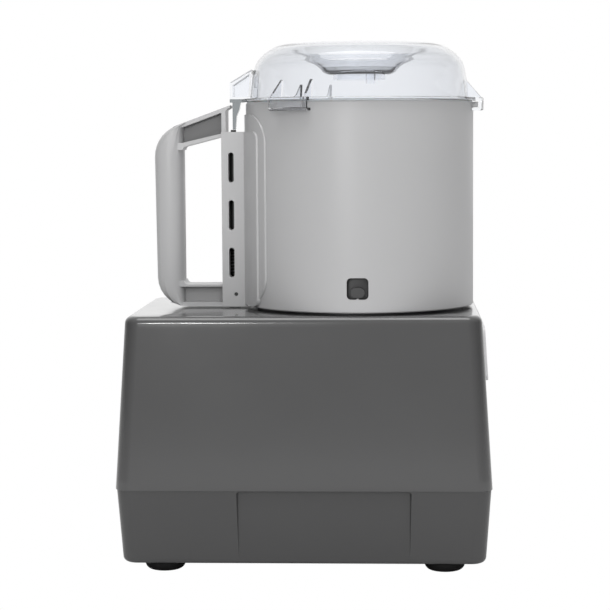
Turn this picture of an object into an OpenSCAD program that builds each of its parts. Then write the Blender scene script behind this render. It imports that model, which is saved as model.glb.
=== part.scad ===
// Commercial food processor: a motor base with a lift-off bowl, a sickle-blade
// cutter on the motor shaft and a clear twist-lock lid that works a safety rod.
// Millimetres. +X is the front with the buttons, -X the side with the handle,
// +Z is up, and z = 0 is the table under the four feet.

/* [Base shell] */
// Length of the upper shell at its lip
base_len = 280; // [260:1:310]
// Width of the upper shell at its lip
base_wid = 200; // [196:1:230]
// Height of the flat top above the table
top_z = 191.6; // [187:0.2:200]
// Height of the lip, where the shell meets the tray
lip_z = 62.8; // [56:0.2:68]
// Wall of the two moulded shells
wall = 3.5; // [2.5:0.5:4.5]
// Inward lean of the shell's walls, in degrees
shell_lean = 3.5; // [1:0.5:5]
// Radius of the upright corners
corner_r = 11.5; // [8:0.5:16]
// Radius of the rounded edge round the top
top_edge_r = 5; // [3:0.5:6]
// How far the lip stands out over the tray
lip_step = 0.8; // [0.5:0.1:2]

/* [Base tray] */
// Height of the tray's underside
tray_z = 7.4; // [6.4:0.2:10]
// Thickness of the tray's floor
tray_floor = 3; // [2:0.5:5]
// Inward lean of the tray's walls, in degrees
tray_lean = 4; // [3:0.5:7]
// Radius of the tray's lower edge
tray_edge_r = 4; // [1.5:0.5:5]
// Length of each hand hold
hold_len = 131; // [90:1:160]
// Place of the hand holds along the base
hold_x = 15.5; // [0:0.5:25]
// Height of the spigot that keys into the shell
spigot_h = 6; // [4:0.5:10]
// Width of one vent slot
vent_w = 4; // [3:0.5:6]
// Length of one vent slot
vent_len = 46; // [30:1:60]

/* [Feet] */
// Diameter of a rubber foot
foot_d = 30.4; // [26:0.2:36]
// Distance of the feet from the ends of the base
foot_end_in = 35; // [30:1:50]
// Distance of the feet from the sides of the base
foot_side_in = 25; // [24:1:40]
// Diameter of a foot screw's shank
foot_screw_d = 4; // [3:0.5:5]

/* [Control panel] */
// Width of the panel across the front
panel_w = 150; // [140:1:160]
// Height of the panel along the leaning front
panel_h = 40.4; // [38:0.2:46]
// How far the panel stands out from the front
panel_t = 2.2; // [1.8:0.1:3]
// Distance of the panel's middle below the base's top
panel_drop = 29.6; // [28:0.2:36]
// Diameter of a push button
button_d = 19.4; // [16:0.2:24]
// Distance between two buttons
button_pitch = 38; // [34:1:44]
// Travel of a push button
button_travel = 1.5; // [1:0.1:2.5]

/* [Bowl] */
// Distance of the bowl's axis behind the front of the base
bowl_back = 99.2; // [96:0.1:104]
// Outer radius of the bowl
bowl_r = 87.9; // [84:0.1:92]
// Wall of the bowl
bowl_wall = 3; // [2.5:0.1:3.5]
// Gap between the base's top and the bowl's lower edge
bowl_gap = 1.9; // [1.5:0.1:5]
// Height of the bowl from its lower edge to its rim
bowl_h = 156; // [150:0.5:165]
// Thickness of the bowl's floor
floor_t = 4.8; // [3:0.2:7]
// Radius inside the bowl between the floor and the wall
floor_r = 8; // [4:1:14]
// Outer radius of the tube round the shaft
tube_r = 15.5; // [14:0.1:17]
// Wall of the tube round the shaft
tube_wall = 3; // [2:0.1:4]
// Distance of the tube's open top below the rim
tube_drop = 68; // [60:1:76]
// Side of the square stud windows
window_w = 16.1; // [14:0.1:18]
// Corner radius of the stud windows
window_r = 3.3; // [2:0.1:5]
// Height of the middle of the stud windows above the bowl's lower edge
window_rise = 18; // [16:0.1:20]

/* [Bowl seat] */
// Radius of the raised seat under the bowl
seat_r = 80; // [76:0.5:82]
// Height of the seat above the base's top
seat_h = 33; // [28:0.5:36]
// Wall of the seat
seat_wall = 5; // [4:0.5:7]
// Width of a locating stud
stud_w = 10.2; // [8:0.1:12]
// Height of a locating stud
stud_h = 7.6; // [6:0.1:9]
// Distance of the middle of the studs below the seat's top
stud_drop = 16.3; // [14:0.1:18]

/* [Handle] */
// Place of the grip's outer edge, behind the bowl's axis
grip_out = 159.2; // [152:0.1:165]
// Thickness of the grip seen from the side
grip_t = 22.9; // [18:0.1:25]
// Width of the grip across the hand
grip_w = 30; // [24:0.5:34]
// Place of the spine's outer face, behind the bowl's axis
spine_out = 106.1; // [104:0.1:110]
// Width of the spine
spine_w = 34; // [28:0.5:38]
// Gap between the base's top and the handle's underside
handle_gap = 1.2; // [1:0.1:4]
// Distance of the ledge on top of the spine below the rim
ledge_drop = 22; // [18:0.5:28]
// Slope of the upper arm, in degrees
arm_slope = 20; // [14:0.5:24]
// Thickness of the arm's flanges
flange_t = 3.2; // [2.5:0.1:4]
// Thickness of the web between the flanges
web_t = 6; // [4:0.5:9]

/* [Safety rod] */
// Distance of the rod's axis from the bowl's axis
rod_out = 98; // [96:0.1:98.5]
// Diameter of the rod's body
rod_d = 9; // [8:0.1:9.4]
// Diameter of the rod's stem inside its spring
stem_d = 6.4; // [5.5:0.1:6.8]
// Diameter of the rod's tip
tip_d = 4.2; // [3.5:0.1:5]
// How far the tip stands above the ledge with the lid locked
tip_h = 1.5; // [1:0.1:2]
// Travel of the rod when the lid turns open
rod_travel = 4; // [3:0.1:5]
// Wire of the rod's spring
spring_wire = 1.1; // [0.9:0.05:1.2]
// Mean diameter of the rod's spring
spring_d = 8.2; // [8:0.05:8.4]
// Number of turns of the rod's spring
spring_turns = 11; // [8:1:13]

/* [Lid] */
// How far the lid's flange stands out over the bowl
flange_out = 2.8; // [1.8:0.1:4]
// How far the dome stands in from the bowl's outside
dome_inset = 3.6; // [2.4:0.1:8]
// Height of the crown above the flange
dome_h = 42.2; // [38:0.2:50]
// Wall of the clear lid
lid_wall = 2.6; // [2:0.1:3]
// Thickness of the lid's flange
lid_flange_t = 2.6; // [2.4:0.1:4]
// How far the bayonet hooks stand out over the flange
hook_out = 5.3; // [4.5:0.1:7]
// Drop of the bayonet hooks below the flange
hook_drop = 7.4; // [7:0.1:9]
// Angle that the lid turns from locked to free, in degrees
lid_turn_deg = 30; // [26:1:34]
// Width of the ear over the handle
ear_w = 26; // [22:1:30]
// Thickness of the seal ring under the flange
seal_t = 1.4; // [1:0.1:2]

/* [Cutter] */
// Outer radius of the cutter's hub at its foot
hub_r = 25; // [22:0.5:28]
// Outer radius of the cutter's hub at its top
hub_top_r = 17.5; // [15:0.5:20]
// Distance of the hub's top below the rim
hub_drop = 28; // [22:1:36]
// Gap between the blade tips and the bowl's outside
blade_gap = 7.2; // [5:0.1:14]
// Thickness of a blade
blade_t = 2; // [1.5:0.1:2.5]
// Greatest width of a blade
blade_w = 27; // [20:0.5:32]

/* [Motor] */
// Diameter of the motor shaft
shaft_d = 15; // [13:0.5:16]
// Distance of the shaft's top below the rim
shaft_drop = 38; // [36:1:44]
// Outer radius of the stator
stator_r = 65; // [58:1:68]
// Length of the stator
stator_len = 65; // [50:1:70]
// Radius of the stator's bore
stator_bore_r = 36; // [32:1:40]
// Air gap between rotor and stator
air_gap = 0.5; // [0.3:0.1:1]

/* [Hidden] */

// Clearances and overruns shared by all the pieces
over = 1;
seat_gap = 0.2;
slide_gap = 0.3;
turn_gap = 0.4;
shaft_gap = 0.04;
round_fn = 72;

shell_tan = tan(shell_lean);
tray_tan = tan(tray_lean);

// Heights and radii that follow from the sizes above
bowl_x = base_len / 2 - bowl_back;
bowl_z = top_z + bowl_gap;
rim_z = bowl_z + bowl_h;
tube_z = rim_z - tube_drop;
window_z = bowl_z + window_rise;
seat_z = top_z + seat_h;
stud_z = seat_z - stud_drop;
handle_z = top_z + handle_gap;
ledge_z = rim_z - ledge_drop;
flange_r = bowl_r + flange_out;
dome_r = bowl_r - dome_inset;
hook_r = flange_r + hook_out;
hub_z = rim_z - hub_drop;
shaft_z = rim_z - shaft_drop;
blade_r = bowl_r - blade_gap;
panel_z = top_z - panel_drop;
foot_x = base_len / 2 - foot_end_in;
foot_y = base_wid / 2 - foot_side_in;
ring_steps = 6;
edge_steps = 5;

// Half length and half width of the upper shell, and of the tray, at a height
function shell_in(z) = (z - lip_z) * shell_tan;
function tray_in(z) = lip_step + (lip_z - z) * tray_tan;

// One level outline: a rounded rectangle drawn in from the base's size
function outline(inset, r, z) = [
    for (q = [0:3]) for (s = [0:ring_steps])
        let (a = 90 * (q + s / ring_steps),
             sx = (q == 0 || q == 3) ? 1 : -1,
             sy = (q < 2) ? 1 : -1)
        [sx * (base_len / 2 - inset - r) + r * cos(a), sy * (base_wid / 2 - inset - r) + r * sin(a), z]];

// Closed solid through a stack of rings that have the same number of points
module loft(rings) {
    n = len(rings[0]);
    m = len(rings);
    points = [for (ring = rings) each ring];
    sides = [for (j = [0:m - 2]) for (i = [0:n - 1])
        let (a = j * n + i, b = j * n + (i + 1) % n)
        each [[a, a + n, b + n], [a, b + n, b]]];
    bottom = [for (i = [0:n - 1]) i];
    top = [for (i = [n - 1:-1:0]) (m - 1) * n + i];
    polyhedron(points, concat([bottom], sides, [top]), convexity = 6);
}

// Flat shapes
module rounded_plate(w, h, r) {
    square([w - 2 * r, h], center = true);
    square([w, h - 2 * r], center = true);
    for (sx = [-1, 1], sy = [-1, 1])
        translate([sx * (w / 2 - r), sy * (h / 2 - r)]) circle(r, $fn = 32);
}
// A flat shape drawn in X and Z, given a thickness across Y
module across(t) {
    rotate([90, 0, 0]) linear_extrude(t, center = true) children();
}
// A ring or tube about the vertical, from one height to another
module tube(r_out, r_in, z0, z1) {
    translate([0, 0, z0]) difference() {
        cylinder(r = r_out, h = z1 - z0, $fn = round_fn);
        translate([0, 0, -over]) cylinder(r = r_in, h = z1 - z0 + 2 * over, $fn = round_fn);
    }
}
module rod(r, z0, z1) {
    translate([0, 0, z0]) cylinder(r = r, h = z1 - z0, $fn = 48);
}
// Everything about the bowl's axis is drawn at the origin and moved there
module at_bowl() {
    translate([bowl_x, 0, 0]) children();
}
module round_about(count, r, start = 0) {
    for (i = [0:count - 1]) rotate([0, 0, start + i * 360 / count]) translate([r, 0, 0]) children();
}
// Three features about the bowl's axis at the bayonet's places
hook_angles = [-3, 117, 237];
stud_angles = [30, 150, 270];

// Base housing: the upper shell, open below
shell_top_in = top_z - wall;
shell_colour = [0.35, 0.35, 0.35];
seat_hole_r = 58;
seat_bolt_r = 66;
seat_bolt_d = 6;

module shell_body() {
    loft(concat(
        [outline(0, corner_r, lip_z)],
        [for (s = [0:edge_steps])
            let (t = 90 * s / edge_steps,
                 z = top_z - top_edge_r * (1 - sin(t)),
                 rim = top_edge_r * (1 - cos(t)))
            outline(shell_in(z) + rim, corner_r - rim, z)]));
}
module shell_hollow() {
    loft([outline(wall - over * shell_tan, corner_r - wall, lip_z - over),
          outline(shell_in(shell_top_in) + wall, corner_r - wall, shell_top_in)]);
}
// The leaning front face: local x runs out of the face, local z up along it
front_x = base_len / 2 - shell_in(panel_z);
module on_front() {
    translate([front_x, 0, panel_z]) rotate([0, -shell_lean, 0]) children();
}
panel_hole_w = 2 * button_pitch + button_d + 2 * wall;
panel_hole_h = button_d + 2 * wall;
tray_boss_d = 9;
tray_screw_d = 4;
tray_boss_end_in = 33;
tray_boss_h = 26;
tray_boss_x = base_len / 2 - tray_boss_end_in;
cap_len = 78;
tray_boss_y = cap_len / 2 + tray_boss_d;
tray_boss_z = tray_z + tray_floor + tray_boss_h;
bolt_hole_gap = 0.3;

module tray_screw_places() {
    for (sx = [-1, 1], sy = [-1, 1]) translate([sx * tray_boss_x, sy * tray_boss_y, 0]) children();
}
module base_housing() color(shell_colour) difference() {
    union() {
        difference() {
            shell_body();
            shell_hollow();
        }
        tray_screw_places() rod(tray_boss_d / 2, tray_boss_z, shell_top_in + over);
    }
    tray_screw_places() rod(tray_screw_d / 2, tray_boss_z - over, tray_boss_z + 3 * tray_boss_d);
    at_bowl() rod(seat_hole_r, shell_top_in - over, top_z + over);
    at_bowl() round_about(4, seat_bolt_r, 45)
        rod(seat_bolt_d / 2 + bolt_hole_gap, shell_top_in - over, top_z + over);
    on_front() cube([4 * wall, panel_hole_w, panel_hole_h], center = true);
}

// Base tray: the lower shell with the floor, the vents and two hand holds
hold_y = base_wid / 2 - tray_in(tray_z);
hold_end = 2.5;
hold_corner_r = 5;
bush_rise = 24;
bush_z = tray_z + bush_rise;
bush_r = 11;
bush_flange_r = 14;
bush_depth = 3;
bush_x = base_len / 2 - tray_in(bush_z);
cord_hole_r = 4.5;
spigot_t = 2;
vent_pitch = 9;
vent_count = 9;

module tray_body() {
    loft(concat(
        [for (s = [0:edge_steps])
            let (t = 90 * s / edge_steps,
                 z = tray_z + tray_edge_r * (1 - cos(t)),
                 rim = tray_edge_r * (1 - sin(t)))
            outline(tray_in(z) + rim, corner_r - rim, z)],
        [outline(tray_in(lip_z), corner_r, lip_z)]));
}
module tray_hollow() {
    z0 = tray_z + tray_floor;
    loft([outline(tray_in(z0) + wall, corner_r - wall, z0),
          outline(tray_in(lip_z) + wall - over * tray_tan, corner_r - wall, lip_z + over)]);
}
spigot_in = wall + slide_gap + spigot_h * shell_tan;
module tray_spigot() {
    difference() {
        loft([outline(lip_step + wall / 2, corner_r - wall, lip_z - spigot_h),
              outline(spigot_in, corner_r - wall, lip_z),
              outline(spigot_in, corner_r - wall, lip_z + spigot_h)]);
        loft([outline(spigot_in + spigot_t, corner_r - wall, lip_z - spigot_h - over),
              outline(spigot_in + spigot_t, corner_r - wall, lip_z + spigot_h + over)]);
    }
}
// Plan of one hand hold: each end eases in along half a cosine wave
function hold_ease(e) = hold_y + (base_wid / 2 - hold_y) * (1 + cos(180 * e)) / 2;
module hold_plan() {
    ease = [for (s = [0:edge_steps + 1]) s / (edge_steps + 1)];
    left = [for (e = ease) [hold_x - hold_len / 2 + hold_end * e, hold_ease(e)]];
    right = [for (e = ease) [hold_x + hold_len / 2 - hold_end * (1 - e), hold_ease(1 - e)]];
    polygon(concat(left, right));
}
module both_sides() {
    children();
    mirror([0, 1, 0]) children();
}
module base_tray() color(shell_colour) difference() {
    union() {
        difference() {
            union() {
                tray_body();
                tray_spigot();
            }
            difference() {
                tray_hollow();
                tray_spigot();
                both_sides() translate([hold_x, hold_y, (tray_z + lip_z) / 2])
                    cube([hold_len + 2 * wall, 2 * wall, lip_z - tray_z], center = true);
            }
        }
        tray_screw_places() rod(tray_boss_d / 2, tray_z + over, tray_boss_z - seat_gap);
        translate([-bush_x + bush_depth + wall, 0, bush_z]) rotate([0, 90, 0])
            cylinder(r = bush_flange_r + wall, h = 2 * wall, center = true, $fn = 48);
        board_places() rod(board_post_r, tray_z + over, board_z - seat_gap);
    }
    intersection() {
        both_sides() translate([0, 0, tray_z - over]) linear_extrude(lip_z - tray_z + over) hold_plan();
        across(2 * base_wid) translate([hold_x, tray_z])
            rounded_plate(hold_len + over, 2 * (lip_z - tray_z), hold_corner_r);
    }
    tray_screw_places() {
        rod(tray_screw_d / 2 + bolt_hole_gap, tray_z - over, tray_boss_z + over);
        rod(tray_screw_d, tray_z - over, tray_z + tray_floor + tray_screw_d);
    }
    foot_places() rod(foot_screw_d / 2, tray_z - over, tray_z + tray_floor + over);
    for (i = [0:vent_count - 1])
        at_bowl() translate([(i - (vent_count - 1) / 2) * vent_pitch, 0, tray_z + tray_floor / 2])
            linear_extrude(tray_floor + 2 * over, center = true)
                rounded_plate(vent_w, vent_len, vent_w / 2 - over / 10);
    translate([-bush_x - over, 0, bush_z]) rotate([0, 90, 0])
        cylinder(r = bush_flange_r + seat_gap, h = bush_depth + over, $fn = 48);
    translate([-bush_x, 0, bush_z]) rotate([0, 90, 0])
        cylinder(r = bush_r + seat_gap, h = 5 * bush_depth + wall, $fn = 48);
}

// Rubber cord bush, sunk in a pocket of the tray's rear wall; the lead is left out
module cord_bush() color([0.08, 0.08, 0.08]) translate([-bush_x + bush_depth, 0, bush_z]) rotate([0, 90, 0])
    difference() {
        union() {
            translate([0, 0, -bush_depth * 2 / 3]) cylinder(r = bush_flange_r, h = bush_depth * 2 / 3, $fn = 48);
            cylinder(r = bush_r, h = 2 * wall + 2 * bush_depth, $fn = 48);
        }
        translate([0, 0, -bush_depth]) cylinder(r = cord_hole_r, h = 8 * bush_depth, $fn = 48);
    }

// Rubber feet and their screws
foot_head_z = 4.2;
module foot_places() {
    for (sx = [-1, 1], sy = [-1, 1]) translate([sx * foot_x, sy * foot_y, 0]) children();
}
foot_base_share = 0.62;
module rubber_feet() color([0.05, 0.05, 0.05]) foot_places() rotate_extrude($fn = round_fn)
    polygon(concat(
        [[foot_screw_d, 0]],
        [for (s = [0:edge_steps + 1])
            let (t = 90 * s / (edge_steps + 1))
            [foot_d / 2 * (foot_base_share + (1 - foot_base_share) * sin(t)),
             tray_z * (1 - cos(t)) * foot_base_share]],
        [[foot_d / 2, tray_z], [foot_screw_d / 2 + bolt_hole_gap, tray_z],
         [foot_screw_d / 2 + bolt_hole_gap, foot_head_z], [foot_screw_d, foot_head_z]]));
module foot_screws() color("silver") foot_places() {
    rod(foot_screw_d / 2 - shaft_gap, foot_head_z - over, tray_z + tray_floor + 3 * foot_screw_d / 4);
    rod(foot_screw_d - slide_gap, foot_head_z - foot_screw_d / 2, foot_head_z);
}
module tray_screws() color("silver") tray_screw_places() {
    head_z = tray_z + tray_floor + tray_screw_d;
    rod(tray_screw_d / 2 - shaft_gap, head_z - over, tray_boss_z + 2 * tray_boss_d);
    rod(tray_screw_d - slide_gap, head_z - tray_screw_d / 2, head_z);
}

// Control panel with three flush push buttons, and the switch block behind
panel_corner_r = 5;
button_gap = 0.3;
button_sunk = 0.2;
button_stem_r = 3;
button_flange_t = 1.5;
block_gap = 3;
block_x = -wall - block_gap;
block_depth = 14;
block_h = 24;
module button_places() {
    for (i = [-1:1]) translate([0, i * button_pitch, 0]) children();
}
module along_x(r, x0, x1) {
    translate([x0, 0, 0]) rotate([0, 90, 0]) cylinder(r = r, h = x1 - x0, $fn = 48);
}
module control_panel() color([0.78, 0.78, 0.78]) on_front() difference() {
    rotate([90, 0, 90]) linear_extrude(panel_t) rounded_plate(panel_w, panel_h, panel_corner_r);
    button_places() along_x(button_d / 2 + button_gap, -over, panel_t + over);
}
module push_button(place, shade) color(shade) on_front() translate([0, place * button_pitch, 0]) {
    along_x(button_d / 2, -button_flange_t, panel_t - button_sunk);
    along_x(button_stem_r, block_x - block_depth / 3, 0);
}
module start_button() push_button(-1, [0.13, 0.5, 0.25]);
module stop_button() push_button(0, [0.7, 0.12, 0.1]);
module pulse_button() push_button(1, [0.25, 0.25, 0.25]);
module switch_block() color([0.1, 0.1, 0.1]) on_front() difference() {
    union() {
        translate([block_x - block_depth, -panel_hole_w / 2, -block_h / 2])
            cube([block_depth, panel_hole_w, block_h]);
        for (s = [-1, 1]) translate([block_x - block_depth, s * (panel_hole_w / 2 + wall) - wall, -block_h / 2])
            cube([block_depth - block_x - wall - seat_gap, 2 * wall, block_h]);
    }
    button_places() along_x(button_stem_r + slide_gap, block_x - block_depth / 3 - button_travel - over, over);
}

// Power board, capacitor and magnetic switch inside the base
board_rise = 8;
board_z = tray_z + tray_floor + board_rise;
board_post_r = 3.5;
board_len = 52;
board_wid = 96;
board_off = 64;
board_x = -base_len / 2 + board_off;
board_t = 1.6;
relay = [20, 28, 18];
module board_places() {
    for (sx = [-1, 1], sy = [-1, 1])
        translate([board_x + sx * (board_len / 2 - board_post_r), sy * (board_wid / 2 - board_post_r), 0]) children();
}
module power_board() color([0.12, 0.35, 0.2]) {
    translate([board_x - board_len / 2, -board_wid / 2, board_z]) cube([board_len, board_wid, board_t]);
    for (s = [-1, 1]) translate([board_x - relay[0] / 2, s * board_wid / 4 - relay[1] / 2, board_z + board_t / 2])
        cube(relay);
}
cap_r = 17.5;
cap_drop = 37.5;
cap_z = shell_top_in - cap_drop;
clip_t = 1.5;
cap_x = -base_len / 2 + shell_in(cap_z + cap_r) + wall + clip_t + cap_r + over;
module start_capacitor() color([0.75, 0.75, 0.72]) translate([cap_x, 0, cap_z]) rotate([90, 0, 0]) {
    cylinder(r = cap_r, h = cap_len, center = true, $fn = 48);
    for (s = [-1, 1]) translate([s * cap_r / 3, 0, cap_len / 2])
        cube([cap_r / 3, cap_r / 5, cap_r / 3], center = true);
}
module capacitor_clip() color("silver") translate([cap_x, 0, cap_z]) {
    rotate([90, 0, 0]) difference() {
        cylinder(r = cap_r + seat_gap + clip_t, h = cap_len / 3, center = true, $fn = 48);
        cylinder(r = cap_r + seat_gap, h = cap_len, center = true, $fn = 48);
    }
    translate([-clip_t / 2, -cap_len / 6, cap_r + seat_gap + clip_t / 2])
        cube([clip_t, cap_len / 3, shell_top_in - seat_gap - cap_z - cap_r - seat_gap - clip_t / 2]);
}
reed = [14, 22, 9];
reed_z = shell_top_in - seat_gap - reed[2] / 2;
module interlock_switch() color([0.1, 0.1, 0.1]) translate([bowl_x - rod_out, 0, reed_z])
    cube(reed, center = true);

// Bowl seat: raised ring with three locating studs, screwed down into the motor
seal_r = 14;
seal_h = 8;
stud_out = bowl_r - bowl_wall - turn_gap;
seat_boss_r = 9;
seat_edge_r = 3;
module seat_profile() {
    polygon(concat(
        [[seal_r, seat_z - 2 * seal_h], [seal_r, seat_z]],
        [for (s = [0:edge_steps])
            let (t = 90 * s / edge_steps)
            [seat_r - seat_edge_r * (1 - sin(t)), seat_z - seat_edge_r * (1 - cos(t))]],
        [[seat_r, top_z], [seat_r - seat_wall, top_z], [seat_r - seat_wall, seat_z - seat_wall],
         [seal_r + seat_wall, seat_z - seat_wall], [seal_r + seat_wall, seat_z - 2 * seal_h]]));
}
module bowl_seat() color([0.27, 0.27, 0.27]) at_bowl() difference() {
    union() {
        rotate_extrude($fn = round_fn) seat_profile();
        round_about(4, seat_bolt_r, 45) rod(seat_boss_r, top_z, seat_z - seat_wall / 2);
        for (a = stud_angles) rotate([0, 0, a]) translate([(seat_r - seat_wall / 2 + stud_out) / 2, 0, stud_z])
            rotate([90, 0, 90]) linear_extrude(stud_out - seat_r + seat_wall / 2, center = true)
                rounded_plate(stud_w, stud_h, stud_h / 2 - over / 10);
    }
    round_about(4, seat_bolt_r, 45) {
        rod(seat_bolt_d / 2 + bolt_hole_gap, top_z - over, seat_z + over);
        rod(seat_bolt_d, seat_z - seat_bolt_d, seat_z + over);
    }
}
module seat_screws() color("silver") at_bowl() round_about(4, seat_bolt_r, 45) difference() {
    union() {
        rod(seat_bolt_d / 2 - shaft_gap, shell_top_in - bell_plate_t - seat_bolt_d, seat_z - seat_bolt_d + over);
        rod(seat_bolt_d - slide_gap, seat_z - seat_bolt_d, seat_z - over);
    }
    translate([0, 0, seat_z - seat_bolt_d / 2]) cylinder(d = seat_bolt_d, h = seat_bolt_d, $fn = 6);
}
module shaft_seal() color([0.1, 0.1, 0.1]) at_bowl() difference() {
    rod(seal_r - shaft_gap, seat_z - seal_h, seat_z);
    rod(shaft_d / 2 + shaft_gap, seat_z - 2 * seal_h, seat_z + over);
    translate([0, 0, seat_z - seal_h / 3])
        cylinder(r1 = shaft_d / 2, r2 = shaft_d / 2 + seal_h / 2, h = seal_h / 2, $fn = 48);
}

// Motor: hung by its top bell from the seat, with the shaft upright
bell_plate_t = 8;
bell_wall = 4;
bell_r = stator_r + bell_wall;
top_bell_z = shell_top_in - seat_gap;
top_bell_h = 38;
bottom_bell_h = 30;
stator_top = top_bell_z - top_bell_h;
stator_bottom = stator_top - stator_len;
bottom_bell_z = stator_bottom - bottom_bell_h;
bearing_r = 17.5;
bearing_t = 11;
tie_out = 8;
tie_r = stator_r + tie_out;
tie_d = 5;
tie_ear_r = 6;
seat_foot_r = 8;
winding_inset = 6;
winding_r = stator_r - winding_inset;
winding_clear = 5;
winding_in = stator_bore_r + winding_clear;
winding_h = 14;
// One bell: plate, wall, bearing boss and ears, from the stator outward
module bell(z_stator, z_end, way) {
    z_plate = z_end - way * bell_plate_t;
    lo = min(z_stator, z_end);
    hi = max(z_stator, z_end);
    difference() {
        union() {
            rod(bell_r, lo, hi);
            round_about(4, tie_r, 45) rod(tie_ear_r, lo, hi);
        }
        translate([0, 0, way > 0 ? lo - over : z_plate]) cylinder(r = bell_r - bell_wall - slide_gap,
            h = hi - lo - bell_plate_t + over, $fn = round_fn);
    }
}
module motor_top_bell() color([0.62, 0.63, 0.65]) at_bowl() difference() {
    union() {
        bell(stator_top, top_bell_z, 1);
        rod(bearing_r + bell_wall, top_bell_z - bearing_t - bell_wall, top_bell_z);
        round_about(4, seat_bolt_r, 45) rod(seat_foot_r, top_bell_z - 2 * bell_plate_t, top_bell_z);
    }
    rod(bearing_r, top_bell_z - bearing_t, top_bell_z + over);
    rod(bearing_r - bell_wall, stator_top - over, top_bell_z);
    round_about(4, tie_r, 45) rod(tie_d / 2, stator_top - over, stator_top + 3 * tie_d);
    round_about(4, seat_bolt_r, 45) rod(seat_bolt_d / 2, top_bell_z - 4 * bell_plate_t, top_bell_z + over);
}
module motor_bottom_bell() color([0.62, 0.63, 0.65]) at_bowl() difference() {
    union() {
        bell(stator_bottom, bottom_bell_z, -1);
        rod(bearing_r + bell_wall, bottom_bell_z, bottom_bell_z + bearing_t + bell_wall);
    }
    rod(bearing_r, bottom_bell_z - over, bottom_bell_z + bearing_t);
    rod(bearing_r - bell_wall, bottom_bell_z, bottom_bell_z + 2 * bearing_t);
    round_about(4, tie_r, 45) rod(tie_d / 2 + bolt_hole_gap, bottom_bell_z - over, stator_bottom + over);
    round_about(8, (bearing_r + bell_r) / 2 + bell_wall, 22.5)
        rod(seat_foot_r, bottom_bell_z - over, bottom_bell_z + bell_plate_t + over);
}
slot_count = 24;
slot_w = 5;
slot_depth = 12;
module motor_stator() color([0.45, 0.45, 0.48]) at_bowl() difference() {
    tube(stator_r, stator_bore_r, stator_bottom, stator_top);
    round_about(slot_count, stator_bore_r, 0)
        translate([-over, -slot_w / 2, stator_bottom - over])
            cube([slot_depth + over, slot_w, stator_len + 2 * over]);
}
module motor_windings() color([0.72, 0.42, 0.2]) at_bowl()
    for (z = [stator_top + seat_gap, stator_bottom - winding_h - seat_gap]) rotate_extrude($fn = round_fn)
        translate([(winding_r + winding_in) / 2, z + winding_h / 2])
            rounded_plate(winding_r - winding_in, winding_h, winding_h / 3);
module motor_tie_bolts() color("silver") at_bowl() round_about(4, tie_r, 45) {
    rod(tie_d / 2 - shaft_gap, bottom_bell_z - over, stator_top + 2 * tie_d);
    translate([0, 0, bottom_bell_z - tie_d]) cylinder(r = tie_d, h = tie_d, $fn = 6);
}
module shaft_bearings() color([0.8, 0.8, 0.82]) at_bowl() {
    tube(bearing_r - shaft_gap, shaft_d / 2 + shaft_gap, top_bell_z - bearing_t, top_bell_z);
    tube(bearing_r - shaft_gap, shaft_d / 2 + shaft_gap, bottom_bell_z, bottom_bell_z + bearing_t);
}
shaft_below = 26;
shaft_foot_z = bottom_bell_z - shaft_below;
flat_share = 0.7;
module motor_shaft() color([0.85, 0.85, 0.86]) at_bowl() difference() {
    union() {
        rod(shaft_d / 2, shaft_foot_z, shaft_z - over);
        translate([0, 0, shaft_z - over]) cylinder(r1 = shaft_d / 2, r2 = shaft_d / 2 - over, h = over, $fn = 48);
    }
    translate([shaft_d / 2 * flat_share, -shaft_d, tube_z]) cube([shaft_d, 2 * shaft_d, shaft_z]);
}
rotor_r = stator_bore_r - air_gap;
rotor_end = 6;
rotor_bar_r = 2;
module motor_rotor() color([0.55, 0.55, 0.57]) at_bowl() {
    tube(rotor_r, shaft_d / 2, stator_bottom + over, stator_top - over);
    for (z = [stator_bottom + over - rotor_end, stator_top - over])
        tube(rotor_r - air_gap, 2 * rotor_r / 3, z, z + rotor_end);
    round_about(8, rotor_r * 5 / 6, 0) rod(rotor_bar_r, stator_top - over, stator_top + 2 * rotor_end);
}
fan_r = 46;
fan_h = 14;
fan_drop = 22;
fan_z = bottom_bell_z - fan_drop;
fan_blades = 9;
fan_disc_t = 2;
module cooling_fan() color([0.15, 0.15, 0.15]) at_bowl() difference() {
    union() {
        rod(fan_r, fan_z, fan_z + fan_disc_t);
        rod(shaft_d, fan_z, fan_z + fan_h);
        round_about(fan_blades, shaft_d / 2 + over, 0) rotate([0, 0, 20])
            translate([0, -fan_disc_t / 2, fan_z]) cube([fan_r - shaft_d, fan_disc_t, fan_h]);
    }
    rod(shaft_d / 2, fan_z - over, fan_z + fan_h + over);
}

// Bowl: one turned form with skirt, floor and shaft tube, and the lid's lugs
bowl_in = bowl_r - bowl_wall;
under_z = seat_z + seat_gap;
bowl_floor_z = under_z + floor_t;
lug_out = 3.8;
lug_r = bowl_r + lug_out;
lug_t = 4;
lug_deg = 14;
rim_edge = 0.8;
bump_r = 1.1;
tube_foot_r = 2;
module bowl_profile() {
    polygon(concat(
        [[bowl_r - rim_edge, bowl_z], [bowl_r, bowl_z + rim_edge], [bowl_r, rim_z - rim_edge],
         [bowl_r - rim_edge, rim_z], [bowl_in, rim_z]],
        [for (s = [0:edge_steps + 1])
            let (t = 90 * s / (edge_steps + 1))
            [bowl_in - floor_r * (1 - cos(t)), bowl_floor_z + floor_r * (1 - sin(t))]],
        [for (s = [0:edge_steps])
            let (t = 90 * s / edge_steps)
            [tube_r + tube_foot_r * (1 - sin(t)), bowl_floor_z + tube_foot_r * (1 - cos(t))]],
        [[tube_r, tube_z - rim_edge], [tube_r - rim_edge, tube_z], [tube_r - tube_wall, tube_z],
         [tube_r - tube_wall, under_z], [bowl_in, under_z], [bowl_in, bowl_z]]));
}
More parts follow.
